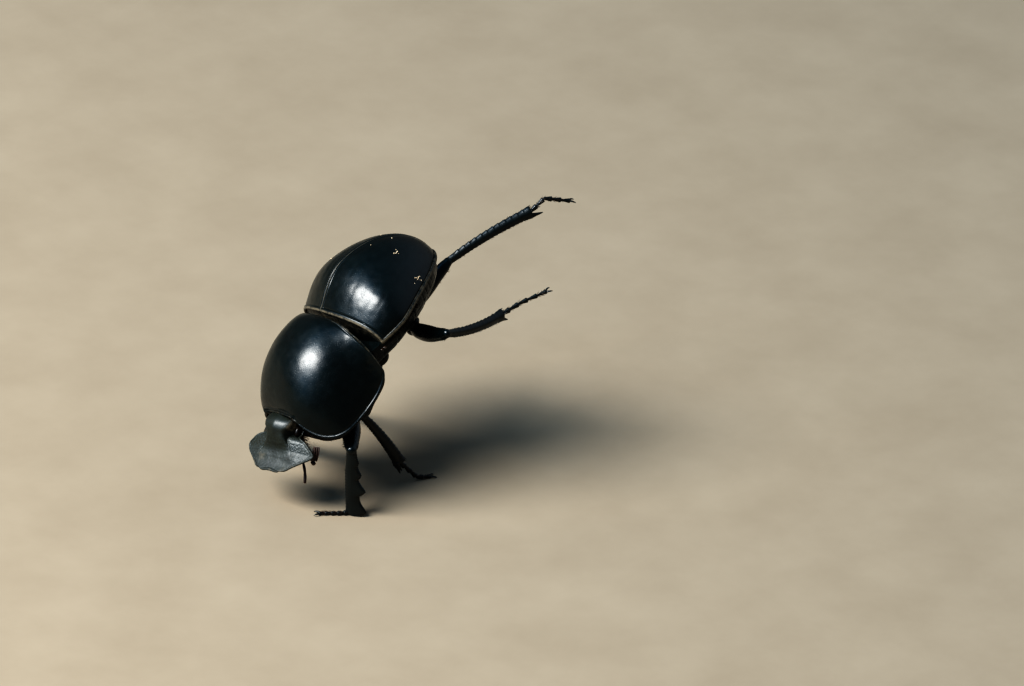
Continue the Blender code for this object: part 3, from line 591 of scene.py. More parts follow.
def elytron_relief(grid, shares, turn, edges):
    """Height of the waves, striae, beads and valleys of a wing case."""
    base, margin = edges["base"], edges["margin"]
    relief = waves_on(grid, ELYTRON_WAVES)
    fade = (0.5 + 0.3 * ripple(grid, 4.0, 4)) * smooth(base, 0.8, 2.5) * smooth(margin, 0.6, 1.4)
    fade *= (1 - smooth(shares, 0.93, 0.985))[:, None]
    radius = np.linalg.norm(grid[:, :, [0, 2]], axis=-1)
    for place in pi / 2 * np.arange(1, STRIAE + 1) / (STRIAE + 1.2):
        relief -= STRIA_DEPTH * fade * bell((turn - place) * radius, 0, STRIA_HALF)
    bead = highest(follow(hump, ELYTRON_BEADS, edges),
                   follow(hump, SUTURE_BEAD, edges) * smooth(base, 0.0, 0.6))
    valley = follow(bell, ELYTRON_VALLEYS, edges)
    tip = smooth(np.abs(grid[:, -1, 0]), 0.2, 1.5)[:, None]
    return ((relief - valley) * (bead < BEAD_START) + bead) * tip


def elytron_under(grid, side, inset=0.55):
    """Flat lower side of a wing case, a little inside its margin."""
    shift = np.array((0, 0.1, -0.17))
    inner, outer = grid[:, 0] + shift, grid[:, -1] + shift
    outer[:, 0] -= side * np.minimum(np.abs(outer[:, 0]), inset)
    inner[:, 2] = outer[:, 2]
    u = steps(grid.shape[1])[None, :, None]
    return inner[:, None] * (1 - u) + outer[:, None] * u


def elytron(side):
    """Wing case with its base rim, side bead, suture ridge and fine striae."""
    grid, shares, turn = elytron_surface(side)
    base, suture, margin = from_edge(grid, 0), from_edge(grid, 1), from_edge(grid, 1, last=True)
    relief = elytron_relief(grid, shares, turn, {"base": base, "suture": suture, "margin": margin})
    # dust along the base, suture and margins; along the suture and on the side bead it is partly a
    # painted glint of the lit line
    dust = highest(0.8 * (1 - smooth(base, 0.1, 0.45)), 0.7 * (1 - smooth(suture, 0.03, 0.12)),
                   0.5 * bell(margin, 0.5, 0.14), 0.9 * (1 - smooth(margin, 0.2, 0.55)))
    lip = np.full(ELYTRON_MESH, ELYTRON_EDGE)
    lip[0] += ELYTRON_ROLL * smooth(np.abs(grid[0, :, 0]), 0.0, 0.3)
    lip[:, -1] = ELYTRON_EDGE + ELYTRON_ROLL * smooth(np.abs(grid[:, -1, 0]), 0.2, 1.5)
    top = grid + grid_normals(grid) * relief[..., None]
    return shell(top, elytron_under(grid, side), lip, {"dust": dust})


# ------ prothorax

def pronotum_line(share):
    """Side margin and midline top of the pronotum at a share of its length."""
    rear_x, rear_forward, rear_z = REAR_CORNER
    side_x, side_forward, side_z = SIDE_LOW
    front_x, front_forward, front_z = FRONT_CORNER
    peak_forward, peak = PEAK_TOP
    if share <= 0.5:
        rise, back = sin(pi * share), cos(pi * share)
        margin = (rear_x + (side_x - rear_x) * rise, side_forward - (side_forward - rear_forward) * back,
                  rear_z + (side_z - rear_z) * rise)
        top = (peak_forward - (peak_forward - REAR_TOP[0]) * back,
               REAR_TOP[1] + (peak - REAR_TOP[1]) * rise)
        return margin, top
    rise, back = sin(pi * (share - 0.5)), cos(pi * (share - 0.5))
    margin = (front_x + (side_x - front_x) * back, side_forward + (front_forward - side_forward) * rise,
              side_z + (front_z - side_z) * (share * 2 - 1) ** 2.5)
    top = (peak_forward + (FRONT_TOP[0] - peak_forward) * rise,
           FRONT_TOP[1] + (peak - FRONT_TOP[1]) * back ** 1.25)
    return margin, top


def under_arch(share, x, half):
    """Height of the pronotum's lower side above its margins."""
    hollow = UNDER_ARCH * (0.6 + 0.4 * sin(pi * share)) * (1 - share ** 4)
    return hollow * (1 - np.minimum(np.abs(x) / half, 1.0) ** 2)


def pronotum_surface():
    """Bare upper side of the pronotum; its first row is the rear edge."""
    rows, columns = PRONOTUM_MESH
    turn = pi / 2 * crowded(np.linspace(-1, 1, columns))
    lift = np.abs(np.cos(turn)) ** (2 / PRONOTUM_FULLNESS)
    wide = power(np.sin(turn), 2 / PRONOTUM_FULLNESS)

    def line(share):
        (half, forward, low), (top_forward, top) = pronotum_line(share)
        return half * wide, -(forward + (top_forward - forward) * lift), low + (top - low) * lift

    return swept(steps(rows), line)


def pronotum_under():
    """Arched lower side of the pronotum, inside its margins."""
    rows, columns = PRONOTUM_MESH

    def line(share):
        (half, forward, low), (top_forward, _) = pronotum_line(share)
        x = (half - 0.45) * np.linspace(-1, 1, columns)
        bend = (top_forward - forward) * (1 - (x / half) ** 2) - RIM
        return x, -forward - bend * share ** 6, low - RIM + 0.1 + under_arch(share, x, half)

    return swept(np.linspace(0.02, 0.985, rows), line)


def pronotum():
    """Domed shield with a beaded margin, a doubled front edge and a rough hollow on each side."""
    grid = pronotum_surface()
    side = np.minimum(from_edge(grid, 1), from_edge(grid, 1, last=True))
    rear, front = from_edge(grid, 0), from_edge(grid, 0, last=True)
    edges = {"side": side, "rear": rear, "front": front}
    bead, valley = follow(hump, PRONOTUM_BEADS, edges), follow(bell, PRONOTUM_VALLEYS, edges)
    relief = waves_on(grid, PRONOTUM_WAVES)
    folded = grid.copy()
    folded[..., 0] = np.abs(grid[..., 0])
    grain = 1 - smooth(np.linalg.norm(folded - PIT_AT, axis=-1), 0.5, 1.9)
    relief -= grain * (PIT_DEPTH + 0.02 * ripple(grid, 0.9, 9))
    relief = (relief - valley) * (bead < BEAD_START) + bead
    corner = np.linalg.norm(folded - np.array(FRONT_CORNER) * (1, -1, 1), axis=-1)
    relief *= smooth(corner, 0.1, 0.9)
    dust = highest(0.5 * (1 - smooth(rear, 0.2, 0.5)), 0.4 * bell(side, 0.5, 0.14),
                   0.4 * (1 - smooth(front, 0.1, 0.8)))
    top = grid + grid_normals(grid) * relief[..., None]
    lip = np.full(PRONOTUM_MESH, PRONOTUM_LIP)
    return shell(top, pronotum_under(), lip, {"dust": dust, "grain": grain}, way=(0, 1, 0))


def prosternum():
    """Underside of the prothorax with its keel and the grooves in front of the fore legs."""
    rows, across = STERNUM_MESH
    rings = []
    for share in 0.02 + 0.82 * steps(rows):
        (half, forward, low), _ = pronotum_line(share)
        x = (half - STERNUM_INSET) * np.linspace(1, -1, across + 1)
        y = np.full_like(x, -forward)
        roof = np.stack([x, y, low - RIM + 0.02 + under_arch(share, x, half)], axis=1)
        edge = low - RIM - 0.35
        keel = min(-STERNUM_DEPTH * sin(pi * min(0.28 + share * 0.62, 1.0)) ** 0.6, edge - 0.2)
        depth = edge + (keel - edge) * (1 - (x / half) ** 2)
        groove = 0.12 * bell(np.abs(x), 0.62 * half, 0.25) + 0.1 * bell(forward, 9.2, 0.3)
        ridge = 0.2 * bell(x, 0, 0.35) * smooth(forward, 5.0, 7.5)
        body = np.stack([x, y, depth + groove - ridge], axis=1)[::-1]
        body[:, 2] += 0.03 * ripple(body, 1.6, 21)
        rings.append(np.concatenate([roof, body]))
    return tube(rings, upper=across + 1)


# ------ belly

def belly(front, rear, rows, grooves=(), close=1.0):
    """A length of the underside, with cross grooves and a midline groove."""
    angle = pi * steps(BELLY_POINTS + 1)
    lengthwise = 0.018 * bell(angle, pi / 2, 0.03) + 0.015 * bell(np.abs(angle - pi / 2), 1.15, 0.03)
    wide = power(np.cos(angle), 2 / BELLY_FULLNESS)
    deep = np.abs(np.sin(angle)) ** (2 / BELLY_FULLNESS)

    def ring(end):
        forward = front + (rear - front) * end
        share = min(max(-forward / ELYTRA_LENGTH, 0.0), 1.0)
        half, _, margin = elytra_section(share)
        tail = max((share - 0.45) / 0.55, 0.0)
        depth = BELLY_DEPTH * sqrt(max(1 - tail ** 1.6, 0.0)) + 0.25
        draw = 1 - (1 - close) * smooth(end, 0.6, 1.0)
        bulge = draw * (1 - sum(0.012 * bell(forward, place, 0.16) for place in grooves) - lengthwise)
        x = max(half - BELLY_INSET, 0.5) * bulge * wide
        return x, -forward, min(margin, MARGIN_RISE * 0.9) - 0.1 - depth * bulge * deep

    rings = swept(steps(rows), ring)
    rings[..., 2] += 0.03 * ripple(rings, 1.8, 23)
    return tube(rings)


# ------ head

def head_row(forward):
    """Half width, edge height, crown height and depth below the edge at places along the head."""
    return curve(HEAD_STATIONS, forward).T


def crown_side(forward):
    """Half width of the crown, or of the clypeus before it."""
    return np.interp(forward, *np.transpose(CROWN_SIDES))


def head_dent(forward, share, x):
    """How far the front edge lies back: the notch between the lobes and their round corners."""
    front = max((forward - CHEEK_FORWARD) / (LOBE_FORWARD - CHEEK_FORWARD), 0.0) ** 6
    notch = NOTCH * (1 - np.minimum(np.abs(x) / LOBE_SIDE, 1.0) ** 2) ** 2
    return front * (notch + 0.12 * np.clip((np.abs(share) - 0.55) / 0.45, 0, 1) ** 2)


def head_height(place, x, half, edge, crown):
    """Height of the head's upper side across one row: crown, eye hollows, cheeks and dished front."""
    x = np.abs(x)
    waist = crown_side(place)
    dome = np.clip(1 - (x / waist) ** (12 - 8.8 * smooth(place, -0.6, 1.6)), 0, 1)
    cheek = edge + CHEEK_FALL * (half - x) * smooth(half - x, 0.0, 0.1)
    seam = edge + CHEEK_FALL * max(half - waist, 0.0)
    roof = CROWN_ROOF * (np.hypot(x, 0.3) - 0.3) * (1 - smooth(place, -0.2, 0.9))
    height = np.minimum(cheek, seam) + np.maximum(crown - roof - seam, 0.0) * dome
    dish = edge + (crown - edge) * (1 - (x / half) ** 2.2)
    height = height + (dish - height) * smooth(place, 2.8, 4.4)
    behind = CHEEK_START[1] + CHEEK_REAR_SLOPE * (x - CHEEK_START[0]) - place
    hollow = EYE_HOLLOW * smooth(behind, 0.0, 0.3) * smooth(x - waist, -0.1, 0.2)
    return np.maximum(height - hollow * smooth(place, -2.1, -1.5), edge)


def head_surface():
    """Bare upper side of the head; its first row is at the neck."""
    rows, columns = HEAD_MESH
    forward = np.linspace(HEAD_STATIONS[0][0], HEAD_STATIONS[-1][0], rows)
    t = np.linspace(-1, 1, columns)
    share = 0.5 * crowded(t) + 0.5 * t

    def line(place):
        half, edge, crown, _ = head_row(place)[:, 0]
        x = half * share
        return x, head_dent(place, share, x) - place, head_height(place, x, half, edge, crown)

    return swept(forward, line), forward


def head_under(forward):
    """Bulging lower side of the head, inside its edge."""
    rows, columns = HEAD_MESH
    share = np.linspace(-1, 1, columns)

    def line(place):
        half, edge, _, depth = head_row(place)[:, 0]
        x = (half - 0.3) * share
        bulge = max(depth, 0.0) * (1 - np.abs(share) ** 2.2)
        return x, head_dent(place, share, x) - place, edge - HEAD_EDGE + 0.1 - bulge

    return swept(np.linspace(forward[0], forward[-1] - 0.25, rows), line)


def head():
    """Shovel-shaped head with raised rim, sunken eyes, flat cheeks and a dished clypeus."""
    grid, forward = head_surface()
    rim = np.minimum(from_edge(grid, 1), from_edge(grid, 1, last=True))
    rim = np.minimum(rim, from_edge(grid, 0, last=True))
    plate = smooth(forward, 0.3, 1.0)[:, None] * np.ones(HEAD_MESH)
    x, place = np.abs(grid[..., 0]), -grid[..., 1]
    seam = x - crown_side(place)
    above_eye = smooth(place, -2.7, -2.0) * (1 - smooth(place, -1.0, -0.3))
    bead = 0.07 * hump(rim, 0.08, 0.18) * plate
    valley = (0.025 * bell(rim, 0.38, 0.12) * plate
              + 0.06 * bell(seam, 0, 0.12) * smooth(place, -0.2, 0.4) * (1 - smooth(place, 2.6, 3.6)))
    brow = 0.16 * bell(seam, -0.3, 0.18) * above_eye
    ridge = 0.04 * bell(place, 1.3 - 0.10 * x ** 2, 0.22) * (1 - smooth(x, 1.2, 1.8))
    waves = 0.008 * ripple(grid, 1.4, 32) + 0.004 * plate * ripple(grid, 0.42, 31)
    relief = waves + bead - valley * (bead < BEAD_START) + brow + ridge
    normal = grid_normals(grid)
    normal[normal[..., 2] < 0] *= -1
    grain = smooth(place, -0.6, 0.6) * (0.35 + 0.65 * smooth(seam, -0.3, 0.25))
    low = smooth(place, 1.4, 3.2) * (0.6 + 0.3 * ripple(grid, 2.2, 33))
    # dust on the rim and the worn front, and a painted glint in the dust tone along the brow above the
    # eye
    dust = highest(0.40 * (1 - smooth(rim, 0.05, 0.7)) * plate, 0.5 * low,
                   0.8 * bell(seam, -0.2, 0.25) * above_eye)
    lip = np.full(HEAD_MESH, HEAD_LIP)
    lip[0] = 0.01
    top = grid + normal * relief[..., None]
    return shell(top, head_under(forward), lip, {"dust": dust, "grain": grain})


def eye(side):
    """Long eye that leans outward in its hollow."""
    x, y, z = EYE_AT
    out, up = EYE_LEAN
    axes = ((side * out, 0, up), (0, 1, 0), (-side * up, 0, out))
    return ellipsoid((side * x, y, z), axes, EYE_RADII, around=48, rows=30)


def mouthparts():
    """Labium, mandibles and labial palps under the middle of the head."""
    up = (0, 0, 1)
    shapes = [ellipsoid(centre, ((0, 1, 0), (1, 0, 0), up), radii) for centre, radii in LABIUM]
    for side in SIDES.values():
        for (x, y, z), lean, radii in MANDIBLES:
            axes = (unit((side * lean, -1, 0)), unit((1, side * lean, 0)), up)
            shapes.append(ellipsoid((side * x, y, z), axes, radii))
        path = bent(*mirrored(LABIAL_PALP, side), steps(24))
        beads = 0.17 + 0.05 * np.abs(np.sin(3 * pi * np.linspace(0.02, 0.98, 24)))
        shapes.append(rod(path, beads, (1, 0, 0.3), sides=14))
    return joined(shapes)


def palp(side):
    """Maxillary palp of four segments, bent round the head's edge; the right one is drawn in."""
    path = mirrored(PALP_PATH, side)
    if side < 0:
        path = [(x * 0.8, y + 1.4 * bend, z) for bend, (x, y, z) in enumerate(path)]
    s = steps(12)
    shapes = []
    for start, end, radius in PALP_SEGMENTS:
        swell = radius * (0.72 + 0.28 * np.sin(pi * np.minimum(s * 0.75 + 0.1, 1)))
        line = bent(*path, start + (end - start) * s)
        shapes.append(rod(line, swell, (0.1, 0, 1), sides=16, blunt=0.5))
    return joined(shapes)


def antenna(side):
    """Long scape and the beads of the funicle, to the root of the club."""
    path = mirrored(ANTENNA_PATH, side)
    s = steps(20)
    shapes = [rod(polyline(path, s * 0.52), 0.2 + 0.1 * s ** 2, (0, 0, 1), sides=16)]
    t = steps(8)
    for number in range(5):
        radius = (0.24 + 0.015 * number) * (0.7 + 0.3 * np.sin(pi * t))
        bead = polyline(path, 0.54 + number * 0.092 + 0.085 * t)
        shapes.append(rod(bead, radius, (0, 0, 1), sides=16))
    return joined(shapes)


def club(side):
    """Three leaves of the antennal club, held together like a hand."""
    root, tip = np.array(mirrored((ANTENNA_PATH[-1], CLUB_END), side))
    lead = unit(tip - root)
    across = unit(np.cross(lead, (0, 1, 0.3)))
    if side < 0:
        root = root + (0.7, 0, 0)
    s = steps(22)
    leaf = 0.5 * np.sin(pi * (0.12 + 0.8 * s)) ** 0.7
    flat = np.cross(lead, across)
    shapes = []
    for number in (-1, 0, 1):
        shift = across * number * 0.27
        path = root + lead * 0.35 + np.outer(s, lead * 1.85) + shift + np.outer(s ** 2, shift * 0.15)
        shapes.append(limb(path, leaf, leaf, 0.12 + 0.02 * s, flat, sides=20, fullness=2.0))
    return joined(shapes)


# ------ legs

def leg_line(name):
    """Knee, bend and ankle of a leg, with the directions along, across and out of its tibia."""
    spec = LEGS[name]
    knee, ankle, wide = np.array(spec["knee"]), np.array(spec["ankle"]), unit(spec["wide"])
    bend = (knee + ankle) / 2 + wide * spec.get("bow", 0.0) * 2
    lead = unit(ankle - knee)
    across = unit(wide - lead * (wide @ lead))
    return knee, bend, ankle, lead, across, np.cross(lead, across)


def coxa(name):
    """Hip piece, a long lump across the breast."""
    centre, axes = coxa_place(name)
    verts, faces = ellipsoid(centre, axes, COXA_RADII[name.split("_")[0]], around=48, rows=30)
    verts[:, 2] += 0.03 * ripple(verts, 0.9, 41)
    return verts, faces


def femur(name):
    """Club-shaped femur with its trochanter at the hip."""
    spec = LEGS[name]
    hip, knee, wide = hip_of(name), np.array(spec["knee"]), unit(spec["wide"])
    lead = unit(knee - hip)
    start = hip + lead * 0.6
    bend = (start + knee) / 2 - np.array((0, 0, 2 * spec.get("sag", 0.0)))
    s = steps(60)
    half, thick = (curve(FEMUR_PROFILE, s) * spec["size"]).T
    half = half * (1 - 0.18 * smooth(s, 0.9, 1.0))
    shaft = limb(bent(start, bend, knee, s), half, half, thick, wide, sides=40, fullness=2.1, blunt=1.0)
    axes = (lead, unit(np.cross(lead, wide)), wide)
    return joined([shaft, ellipsoid(hip + lead * 1.0 - wide * 0.3, axes, (1.1, 0.8, 0.8))])


def teeth(s, count, depth, start=0.1, end=0.95):
    """Small saw teeth along a limb: slow rise, quick fall."""
    phase = (np.clip(s, start, end) - start) / (end - start) * count
    saw = phase - np.floor(phase)
    return depth * np.where((s > start) & (s < end), saw ** 1.5 * (saw < 0.85), 0.0)


def plain_tibia(name):
    """Middle or hind tibia: a flat, saw-edged rod that broadens to its end and carries spurs."""
    pair = name.split("_")[0]
    knee, bend, ankle, lead, across, normal = leg_line(name)
    start, end = TIBIA_HALF[pair]
    s = steps(150)
    flare = 0.16 * smooth(s, 0.9, 1.0)
    half = start + (end - start) * s
    shapes = [limb(bent(knee, bend, ankle, s), half + teeth(s, 17, 0.1) + flare,
                   half + teeth(s, 12, 0.13) + flare, TIBIA_THICK + 0.14 * s + 0.5 * flare,
                   unit(LEGS[name]["wide"]), sides=32, fullness=1.65, blunt=0.4)]
    for number, (shift, length) in enumerate(SPURS[pair]):
        root = ankle - lead * 0.4 - across * 0.3 + normal * shift
        tip = ankle + lead * length - across * (0.9 - 0.4 * number) + normal * shift
        shapes.append(thorn(root, (root + tip) / 2 - across * 0.12, tip, 0.3, 0.7, 0.035, across,
                            rings=18, sides=16, flat=0.8))
    for angle in 2 * pi * np.arange(TIBIA_END_SPINES) / TIBIA_END_SPINES:
        root = ankle + across * cos(angle) * (end + 0.05) + normal * sin(angle) * 0.45
        tip = root + lead * 0.42 + across * cos(angle) * 0.1
        shapes.append(thorn(root, (root + tip) / 2, tip, 0.07, 1, 0.015, across, rings=6, sides=8))
    return joined(shapes)


def fore_tibia(name):
    """Digging tibia: a ridged blade with large teeth, a saw of small ones and a spur."""
    knee, _, ankle, lead, _, _ = leg_line(name)
    wide = unit(LEGS[name]["wide"])
    normal = np.cross(lead, wide)
    s = steps(260)
    outer = 0.72 + 0.4 * s
    for peak, length, reach in FORE_TEETH:
        rise = smooth(s, peak - length, peak + 0.02) ** 1.4
        fall = np.sqrt(np.clip(1 - (s - peak) / 0.07, 0, 1))
        outer = outer + reach * np.where(s <= peak, rise, fall)
    outer = outer + teeth(s, 18, 0.07, 0.05, 0.62)
    grown = np.minimum(s * 3, 1.0)
    inner = FORE_TIBIA_INNER * (0.7 + 0.3 * grown) + teeth(s, 14, 0.05, 0.3, 0.97)
    path = knee + np.outer(s, ankle - knee)
    shapes = [limb(path, inner, outer, 0.42 + 0.08 * grown, wide, sides=36, fullness=1.8, blunt=0.3)]
    for way in (1, -1):
        line = path[10:235:5] + normal * 0.36 * way
        ridge = 0.16 * np.sin(np.linspace(0.1, pi - 0.1, len(line))) ** 0.4
        shapes.append(rod(line, ridge, wide, sides=12))
    root = ankle - lead * 0.5 - wide * 0.45
    tip = root + lead * 0.55 - wide * 1.0
    shapes.append(thorn(root, (root + tip) / 2 + lead * 0.1, tip, 0.2, 0.7, 0.03, wide))
    return joined(shapes)


def tibia(name):
    """Tibia of any leg."""
    return on_floor(fore_tibia(name) if name.startswith("fore") else plain_tibia(name))


def foot_path(name):
    """Bent line of a foot, from the end of the tibia to the last segment."""
    _, _, ankle, lead, _, _ = leg_line(name)
    if name.startswith("fore"):
        start = ankle - unit(LEGS[name]["wide"]) * 0.3 + np.array((0, 0, 0.1))
    else:
        start = ankle - lead * 0.2
    return [start, *[np.array(p) for p in LEGS[name]["foot"]]]


def tarsus(name):
    """Five segments, each broader at its far end, and two hooked claws."""
    path = foot_path(name)
    thin, broad = TARSUS_HALF
    s = steps(12)
    shapes = []
    for joint in range(TARSUS_JOINTS):
        line = polyline(path, (joint + 0.02 + 0.93 * s) / TARSUS_JOINTS)
        half = (thin * 0.72 + (broad * 1.12 - thin * 0.72) * s ** 1.4) * (1.0 - 0.05 * joint)
        shapes.append(limb(line, half, half, half * 0.85, (0.2, 0.1, 1.0), sides=18))
    lead = unit(path[-1] - path[-2])
    side = unit(np.cross(lead, (0, 0, 1)))
    root = path[-1] - lead * 0.15
    for way in (1, -1):
        tip = root + lead * CLAW_LENGTH + side * way * 0.5
        bend = root + lead * CLAW_LENGTH * 0.6 + side * way * 0.6 + np.array((0, 0, 0.22))
        shapes.append(thorn(root, bend, tip, 0.13, 0.6, 0.02, (0, 0, 1)))
    return on_floor(joined(shapes))


# ------ bristles and sand

class Hairs:
    """Curved, tapering bristles, gathered one by one with their places in the bake map."""

    def __init__(self, seed, radius=0.03):
        self.seed, self.radius = seed, radius
        self.rng = np.random.default_rng(seed)
        self.rows = []

    def add(self, root, way, length, place):
        self.rows.append((np.array(root), unit(way), length, place))

    def shape(self):
        """Mesh of all the hairs, HAIR_POINTS to each."""
        rng = np.random.default_rng(self.seed)
        turns = 2 * pi * np.arange(HAIR_SIDES) / HAIR_SIDES
        verts, faces = [], []
        for root, way, length, _ in self.rows:
            side = unit(np.cross(way, rng.normal(size=3)))
            other = np.cross(way, side)
            droop = side * length * rng.uniform(0.05, 0.22)
            start = len(verts)
            for share, size in HAIR_RINGS:
                middle = root + way * length * share + droop * max(share, 0) ** 2
                verts += [middle + (side * cos(a) + other * sin(a)) * self.radius * size for a in turns]
            verts.append(root + way * length + droop)
            rings = start + np.arange(HAIR_POINTS - 1).reshape(-1, HAIR_SIDES)
            for k in range(HAIR_SIDES):
                strip = [(ring[k], ring[(k + 1) % HAIR_SIDES]) for ring in rings.tolist()]
                faces += [(a, b, d, c) for (a, b), (c, d) in zip(strip, strip[1:])]
                faces.append((*strip[-1], start + HAIR_POINTS - 1))
            faces.append(tuple(rings[0, ::-1].tolist()))
        return np.array(verts), faces

    def add_piece(self, name, matrix, material, slot):
        """The hairs as a piece, each on its own small patch of the bake map at its root's place."""
        mesh = add_piece(name, self.shape(), matrix, material, slot).data
        index = np.empty(len(mesh.loops), int)
        mesh.loops.foreach_get("vertex_index", index)
        number, inside = np.divmod(index, HAIR_POINTS)
        ring, k = np.divmod(inside, HAIR_SIDES)
        patch = np.stack([k / HAIR_SIDES + 0.1, ring / HAIR_SIDES], axis=1) * HAIR_PATCH
        places = np.array([row[3] for row in self.rows])[number] * (1 - HAIR_PATCH)
        layer = mesh.uv_layers.new(name="OFBake")
        layer.data.foreach_set("uv", (places + patch).astype(np.float32).ravel())


def leg_bristles(name, seed):
    """Bristles along both edges of the tibia, on the tarsus and under the femur."""
    hairs = Hairs(seed)
    rng = hairs.rng
    knee, bend, ankle, lead, across, normal = leg_line(name)
    for number in range(TIBIA_HAIRS):
        s = rng.uniform(0.06, 1.0)
        way = 1 if number % 2 else -1
        half = 0.6 if name.startswith("fore") else 0.38 + 0.28 * s
        lift = rng.uniform(-0.6, 0.6)
        root = bent(knee, bend, ankle, s)[0] + across * way * half * sqrt(1 - lift ** 2)
        hairs.add(root + normal * lift * 0.34, across * way * 0.55 + lead * 0.9 + normal * lift * 0.7,
                  rng.uniform(0.3, 0.62), (s * 0.45 + 0.02, 0.25 + 0.2 * way + 0.2 * lift))
    path = foot_path(name)
    for _ in range(FOOT_HAIRS):
        s = rng.uniform(0.05, 0.97)
        ahead = unit(polyline(path, min(s + 0.02, 1))[0] - polyline(path, s - 0.02)[0])
        angle = rng.uniform(0, 2 * pi)
        side = unit(np.cross(ahead, (0.3, 0.2, 1)))
        out = side * cos(angle) + np.cross(ahead, side) * sin(angle)
        if not name.startswith("hind"):
            out[2] = abs(out[2])
        hairs.add(polyline(path, s)[0] + out * 0.24, out * 0.6 + ahead, rng.uniform(0.25, 0.5),
                  (s * 0.4 + 0.52, angle / (2 * pi) * 0.4 + 0.05))
    hip = hip_of(name)
    down = -across * 0.8 * LEGS[name]["size"]
    for _ in range(FEMUR_HAIRS):
        s = rng.uniform(0.2, 0.95)
        way = down + normal * rng.uniform(-0.8, 0.8) + unit(knee - hip) * 0.7
        hairs.add(hip + (knee - hip) * s + down, way, rng.uniform(0.3, 0.6),
                  (s * 0.9, 0.55 + 0.4 * rng.uniform()))
    return hairs


def edge_bristles(seed):
    """Fringe below the side margins of the pronotum and along the breast."""
    hairs = Hairs(seed)
    rng = hairs.rng
    for side in SIDES.values():
        for _ in range(RIM_HAIRS):
            share = rng.uniform(0.06, 0.9)
            (half, forward, low), _ = pronotum_line(share)
            inset = rng.uniform(0.5, 1.0)
            hairs.add((side * (half - inset), -forward, low - RIM + 0.04),
                      np.array((-side * 0.3, -0.25, -1.0)) + rng.normal(0, 0.25, 3),
                      rng.uniform(0.25, 0.5), (share * 0.9 + 0.02, 0.25 + 0.22 * side + inset * 0.2))
        for _ in range(BELLY_HAIRS):
            share = rng.uniform(0.03, 0.5)
            half, _, margin = elytra_section(share)
            hairs.add((side * (half - BELLY_INSET - 0.05), ELYTRA_LENGTH * share, margin - 0.75),
                      np.array((side * 1.0, 0.6, -0.7)) + rng.normal(0, 0.3, 3),
                      rng.uniform(0.3, 0.6), (share + 0.45, 0.75 + 0.2 * side))
    return hairs


def mouth_bristles(seed):
    """Dense fringe of the mouthparts and under the edge of the cheeks."""
    hairs = Hairs(seed, 0.028)
    rng = hairs.rng
    for _ in range(MOUTH_HAIRS):
        a = rng.uniform(0, 2 * pi)
        hairs.add((cos(a) * 1.7, -0.6 + sin(a) * 2.0, -3.9 + rng.uniform(-0.6, 0.5)),
                  np.array((cos(a), sin(a) - 0.4, -0.9)) + rng.normal(0, 0.2, 3),
                  rng.uniform(0.4, 0.9), (a / (2 * pi) * 0.9, 0.1 + 0.3 * rng.uniform()))
    for _ in range(CHEEK_HAIRS):
        forward = rng.uniform(0.7, LOBE_FORWARD - 0.5)
        side = rng.choice((-1, 1))
        half, edge, _, _ = head_row(forward)[:, 0]
        hairs.add((side * (half - 0.6), 0.3 - forward, edge - HEAD_EDGE),
                  np.array((side * 0.2, 0.1, -1.0)) + rng.normal(0, 0.25, 3),
                  rng.uniform(0.25, 0.45), (forward / 6, 0.7 + 0.2 * side))
    return hairs


def grain_of_sand(centre, size, rng):
    """Small irregular stone."""
    cuts = [unit(rng.normal(size=3)) for _ in range(3)]
    verts, faces = ellipsoid((0, 0, 0), np.eye(3), size * rng.uniform(0.6, 1.0, 3), around=10, rows=7)
    for cut in cuts:
        verts = verts - np.outer(np.clip(verts @ cut - size * 0.45, 0, None), cut) * 0.8
    return verts + np.array(centre), faces


def sand(seed):
    """Grains that cling to the wing cases."""
    rng = np.random.default_rng(seed)
    surfaces = {word: elytron_surface(side) for word, side in SIDES.items()}
    shapes = []
    for word, share, turn, spread, count in SAND_PATCHES:
        grid, shares, turns = surfaces[word]
        for _ in range(count):
            i = np.argmin(np.abs(shares - (share + rng.normal(0, spread))))
            k = np.argmin(np.abs(turns - pi / 2 * (turn + rng.normal(0, spread))))
            size = rng.uniform(*SAND_SIZE)
            shapes.append(grain_of_sand(grid[i, k] + 0.25 * size * np.array((0, 0, 1)), size, rng))
    return joined(shapes)


# ------ materials

def add_node(tree, kind, inputs=None, **settings):
    """New node with its settings, and its inputs set to values or linked to outputs."""
    made = tree.nodes.new(kind)
    for key, value in settings.items():
        setattr(made, key, value)
    for key, value in (inputs or {}).items():
        if isinstance(value, bpy.types.NodeSocket):
            tree.links.new(value, made.inputs[key])
        else:
            made.inputs[key].default_value = value
    return made


def mixed(tree, factor, first, second):
    """Colour mix; a colour is a socket or a triple."""
    inputs = {0: factor}
    for index, colour in ((6, first), (7, second)):
        inputs[index] = (*colour, 1.0) if isinstance(colour, tuple) else colour
    return add_node(tree, "ShaderNodeMix", inputs, data_type="RGBA").outputs[2]


def reckon(tree, operation, first, second=0.0, clamp=False):
    """Result of a Math node."""
    inputs = {0: first, 1: second}
    return add_node(tree, "ShaderNodeMath", inputs, operation=operation, use_clamp=clamp).outputs[0]


def ranged(tree, value, low, high, to_low=0.0, to_high=1.0):
    inputs = {"Value": value, "From Min": low, "From Max": high, "To Min": to_low, "To Max": to_high}
    return add_node(tree, "ShaderNodeMapRange", inputs).outputs["Result"]


def noise_of(tree, place, scale, detail=3.0, roughness=0.55):
    inputs = {"Vector": place, "Scale": scale, "Detail": detail, "Roughness": roughness}
    return add_node(tree, "ShaderNodeTexNoise", inputs).outputs["Fac"]


def cells_of(tree, place, scale, feature="F1"):
    """Distance to the nearest of many scattered points."""
    inputs = {"Vector": place, "Scale": scale}
    return add_node(tree, "ShaderNodeTexVoronoi", inputs, feature=feature).outputs["Distance"]


def mask_of(tree, name):
    return add_node(tree, "ShaderNodeAttribute", attribute_name=name).outputs["Fac"]


